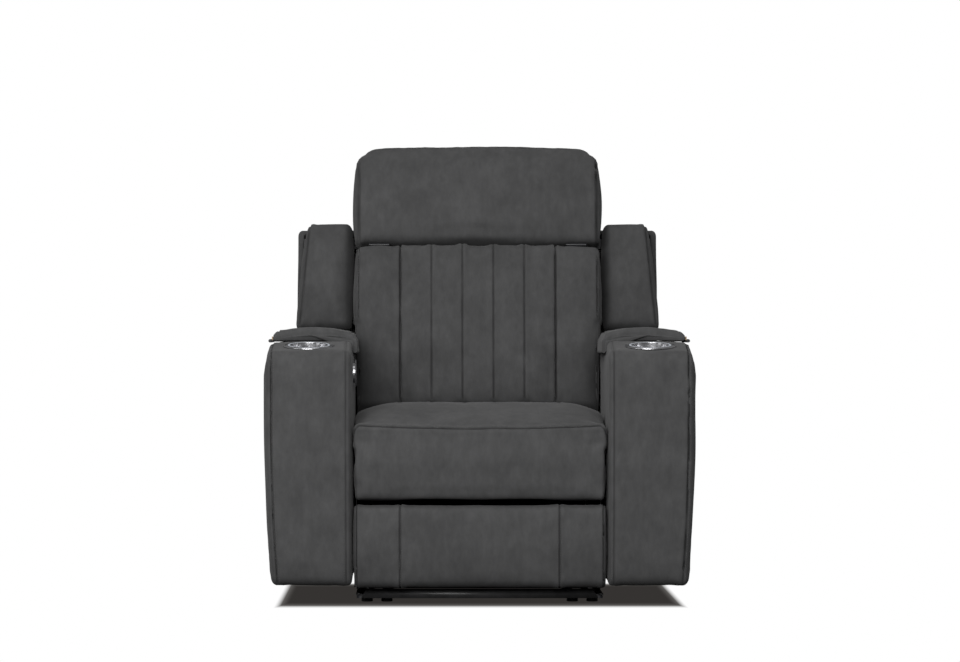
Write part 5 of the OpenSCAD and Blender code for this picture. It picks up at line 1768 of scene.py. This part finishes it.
class Studio:
    """White floor and backdrop, soft lamps and the camera of the photograph."""

    LAMPS = (("key", (-0.7, -4.0, 1.95), (0, 0.0, 0.5), (3.0, 1.8), 112),
             ("top", (0.0, -1.4, 3.4), (0, 0.0, 0.4), (2.6, 1.6), 8),
             ("fill_left", (-3.4, -2.2, 1.7), (0, 0, 0.5), (1.6, 2.4), 10))
    AMBIENT, WHITE = 0.18, 1.0
    LENS, SENSOR, FAR = 243.0, 36.0, 200
    ASIDE, AWAY, EYE = -0.13, 15.0, 0.63
    PICTURE = (960, 662)

    def __init__(self, layout: Layout) -> None:
        """Keeps the layout."""
        self.layout = layout

    def build(self) -> None:
        """Builds the floor, the world, the lamps and the camera."""
        self._floor()
        self._world()
        for lamp in self.LAMPS:
            self._lamp(*lamp)
        self._camera()

    def _floor(self) -> None:
        """Lays a floor that is white, with a painted soft shadow where the seat stands close over it."""
        shape = bmesh.new()
        bmesh.ops.create_circle(shape, cap_ends=True, segments=96, radius=40)
        floor = from_shape(shape, "floor")
        shader = Shader("floor")
        tree = shader.tree
        tree.nodes.remove(shader.surface)
        bounced, plain = shader.node("ShaderNodeBsdfDiffuse"), shader.node("ShaderNodeEmission")
        bounced.inputs["Color"].default_value = (0.14, 0.14, 0.14, 1)
        plain.inputs["Strength"].default_value = 1.0
        front = self.layout.front
        # Painted shadow: a soft box under the seat that reaches in front of it, dark inside and white outside.
        edges = ((0.440, 0.478), (front + 0.04, front - 0.32), (0.5, 0.8))
        place, parts = shader.node("ShaderNodeNewGeometry"), shader.node("ShaderNodeSeparateXYZ")
        beside = shader.node("ShaderNodeMath", operation="ABSOLUTE")
        shader.link(place, "Position", parts, 0)
        shader.link(parts, "X", beside, 0)
        lit = None
        for (source, output), (dark, light) in zip(((beside, 0), (parts, "Y"), (parts, "Y")), edges):
            span = shader.node("ShaderNodeMapRange", interpolation_type="SMOOTHSTEP")
            ends = sorted(((dark, 0.0), (light, 1.0)))
            for end, (at, share) in zip(("Min", "Max"), ends):
                span.inputs[f"From {end}"].default_value = at
                span.inputs[f"To {end}"].default_value = share
            shader.link(source, output, span, "Value")
            if lit is not None:
                most = shader.node("ShaderNodeMath", operation="MAXIMUM")
                shader.link(lit, 0, most, 0)
                shader.link(span, 0, most, 1)
                span = most
            lit = span
        # The painted shadow's colours, fed to the emission that the camera sees.
        shadow = shader.ramp(lit, 0, ((0.0, (0.036, 0.033, 0.031)), (0.45, (0.11, 0.105, 0.10)),
                                      (0.95, (1.0, 1.0, 1.0))))
        shader.link(shadow, "Color", plain, "Color")
        path = shader.node("ShaderNodeLightPath")
        mix = shader.node("ShaderNodeMixShader")
        shader.link(path, "Is Camera Ray", mix, 0)
        shader.link(bounced, "BSDF", mix, 1)
        shader.link(plain, "Emission", mix, 2)
        shader.link(mix, "Shader", shader.output, "Surface")
        finish(floor, shader.material)

    def _world(self) -> None:
        """Sets a white background for the camera and a plain ambient light."""
        world = bpy.data.worlds.new("world")
        bpy.context.scene.world = world
        world.use_nodes = True
        tree = world.node_tree
        tree.nodes.clear()
        output = tree.nodes.new("ShaderNodeOutputWorld")
        path = tree.nodes.new("ShaderNodeLightPath")
        ambient, white = tree.nodes.new("ShaderNodeBackground"), tree.nodes.new("ShaderNodeBackground")
        for background, strength in ((ambient, self.AMBIENT), (white, self.WHITE)):
            background.inputs["Color"].default_value = (1, 1, 1, 1)
            background.inputs["Strength"].default_value = strength
        mix = tree.nodes.new("ShaderNodeMixShader")
        tree.links.new(path.outputs["Is Camera Ray"], mix.inputs[0])
        tree.links.new(ambient.outputs[0], mix.inputs[1])
        tree.links.new(white.outputs[0], mix.inputs[2])
        tree.links.new(mix.outputs[0], output.inputs["Surface"])

    def _lamp(self, name: str, place: Place, target: Place, size: tuple[float, float], power: float) -> None:
        """Hangs a soft rectangular lamp."""
        lamp = bpy.data.lights.new(name, "AREA")
        lamp.shape, lamp.size, lamp.size_y, lamp.energy = "RECTANGLE", size[0], size[1], power
        holder = bpy.data.objects.new(name, lamp)
        holder.location = place
        holder.rotation_euler = (Vector(target) - Vector(place)).to_track_quat("-Z", "Y").to_euler()
        bpy.context.scene.collection.objects.link(holder)

    def _camera(self) -> None:
        """Places the camera where the photograph was taken."""
        scene = bpy.context.scene
        camera = bpy.data.cameras.new("camera")
        camera.lens, camera.sensor_width, camera.sensor_fit = self.LENS, self.SENSOR, "HORIZONTAL"
        camera.clip_end = self.FAR
        holder = bpy.data.objects.new("camera", camera)
        holder.location = (self.ASIDE, self.layout.front - self.AWAY, self.EYE)
        holder.rotation_euler = (math.radians(90), 0, math.atan2(self.ASIDE, self.AWAY))
        scene.collection.objects.link(holder)
        scene.camera = holder
        scene.render.engine = "CYCLES"
        scene.render.resolution_x, scene.render.resolution_y = self.PICTURE
        scene.render.resolution_percentage = 100
        scene.view_settings.view_transform = "Standard"
        scene.view_settings.look = "None"
        scene.cycles.seed = 1


def main() -> None:
    """Builds the whole seat and its picture."""
    logging.basicConfig(level=logging.INFO, format="%(message)s")
    layout = Layout.measured()
    finishes = Finishes()
    pieces: list[Padded] = [
        SeatCushion(finishes, layout, "seat_cushion", Body.CARRIAGE, ("seat_cushion",), 11, 0.85, 0.005),
        BackCushion(finishes, layout, "back_cushion", Body.BACK, ("back_cushion",), 23, 0.85, 0.006, 0.0014, 0.09),
        Headrest(finishes, layout, "headrest", Body.HEADREST, ("headrest_pad",), 31, 0.85, 0.005),
        FootrestPad(finishes, layout, "footrest", Body.FOOTREST, ("footrest_cushion",), 37, 0.8, 0.003, 0.0008),
    ]
    for side in Side:
        word, turn = side.word, side.value
        pieces += [
            Wing(finishes, layout, f"wing_{word}", Body.BACK, (f"wing_{word}",), 43 + turn, 0.8, 0.004, side=side),
            Arm(finishes, layout, f"arm_{word}", Body.CARRIAGE, (f"arm_{word}",), 51 + turn, 0.9, 0.003, 0.0009,
                0.16, side=side),
            LidPad(finishes, layout, f"lid_pad_{word}", Body[f"LID_{side.name}"],
                   (f"lid_pad_{word}", f"lid_lip_{word}"), 57 + turn, 0.8, 0.002, 0.0006, side=side),
        ]
    for piece in pieces:
        piece.build()
        LOG.info("%s is dressed", piece.name)
    RearShell(finishes, layout).build()
    holders = CupHolders(finishes)
    for side in Side:
        holders.build(side)
    ControlPanel(finishes).build()
    Lining(finishes, layout).build()
    Metalwork(finishes, layout).build()
    Studio(layout).build()


if __name__ == "__main__":
    main()
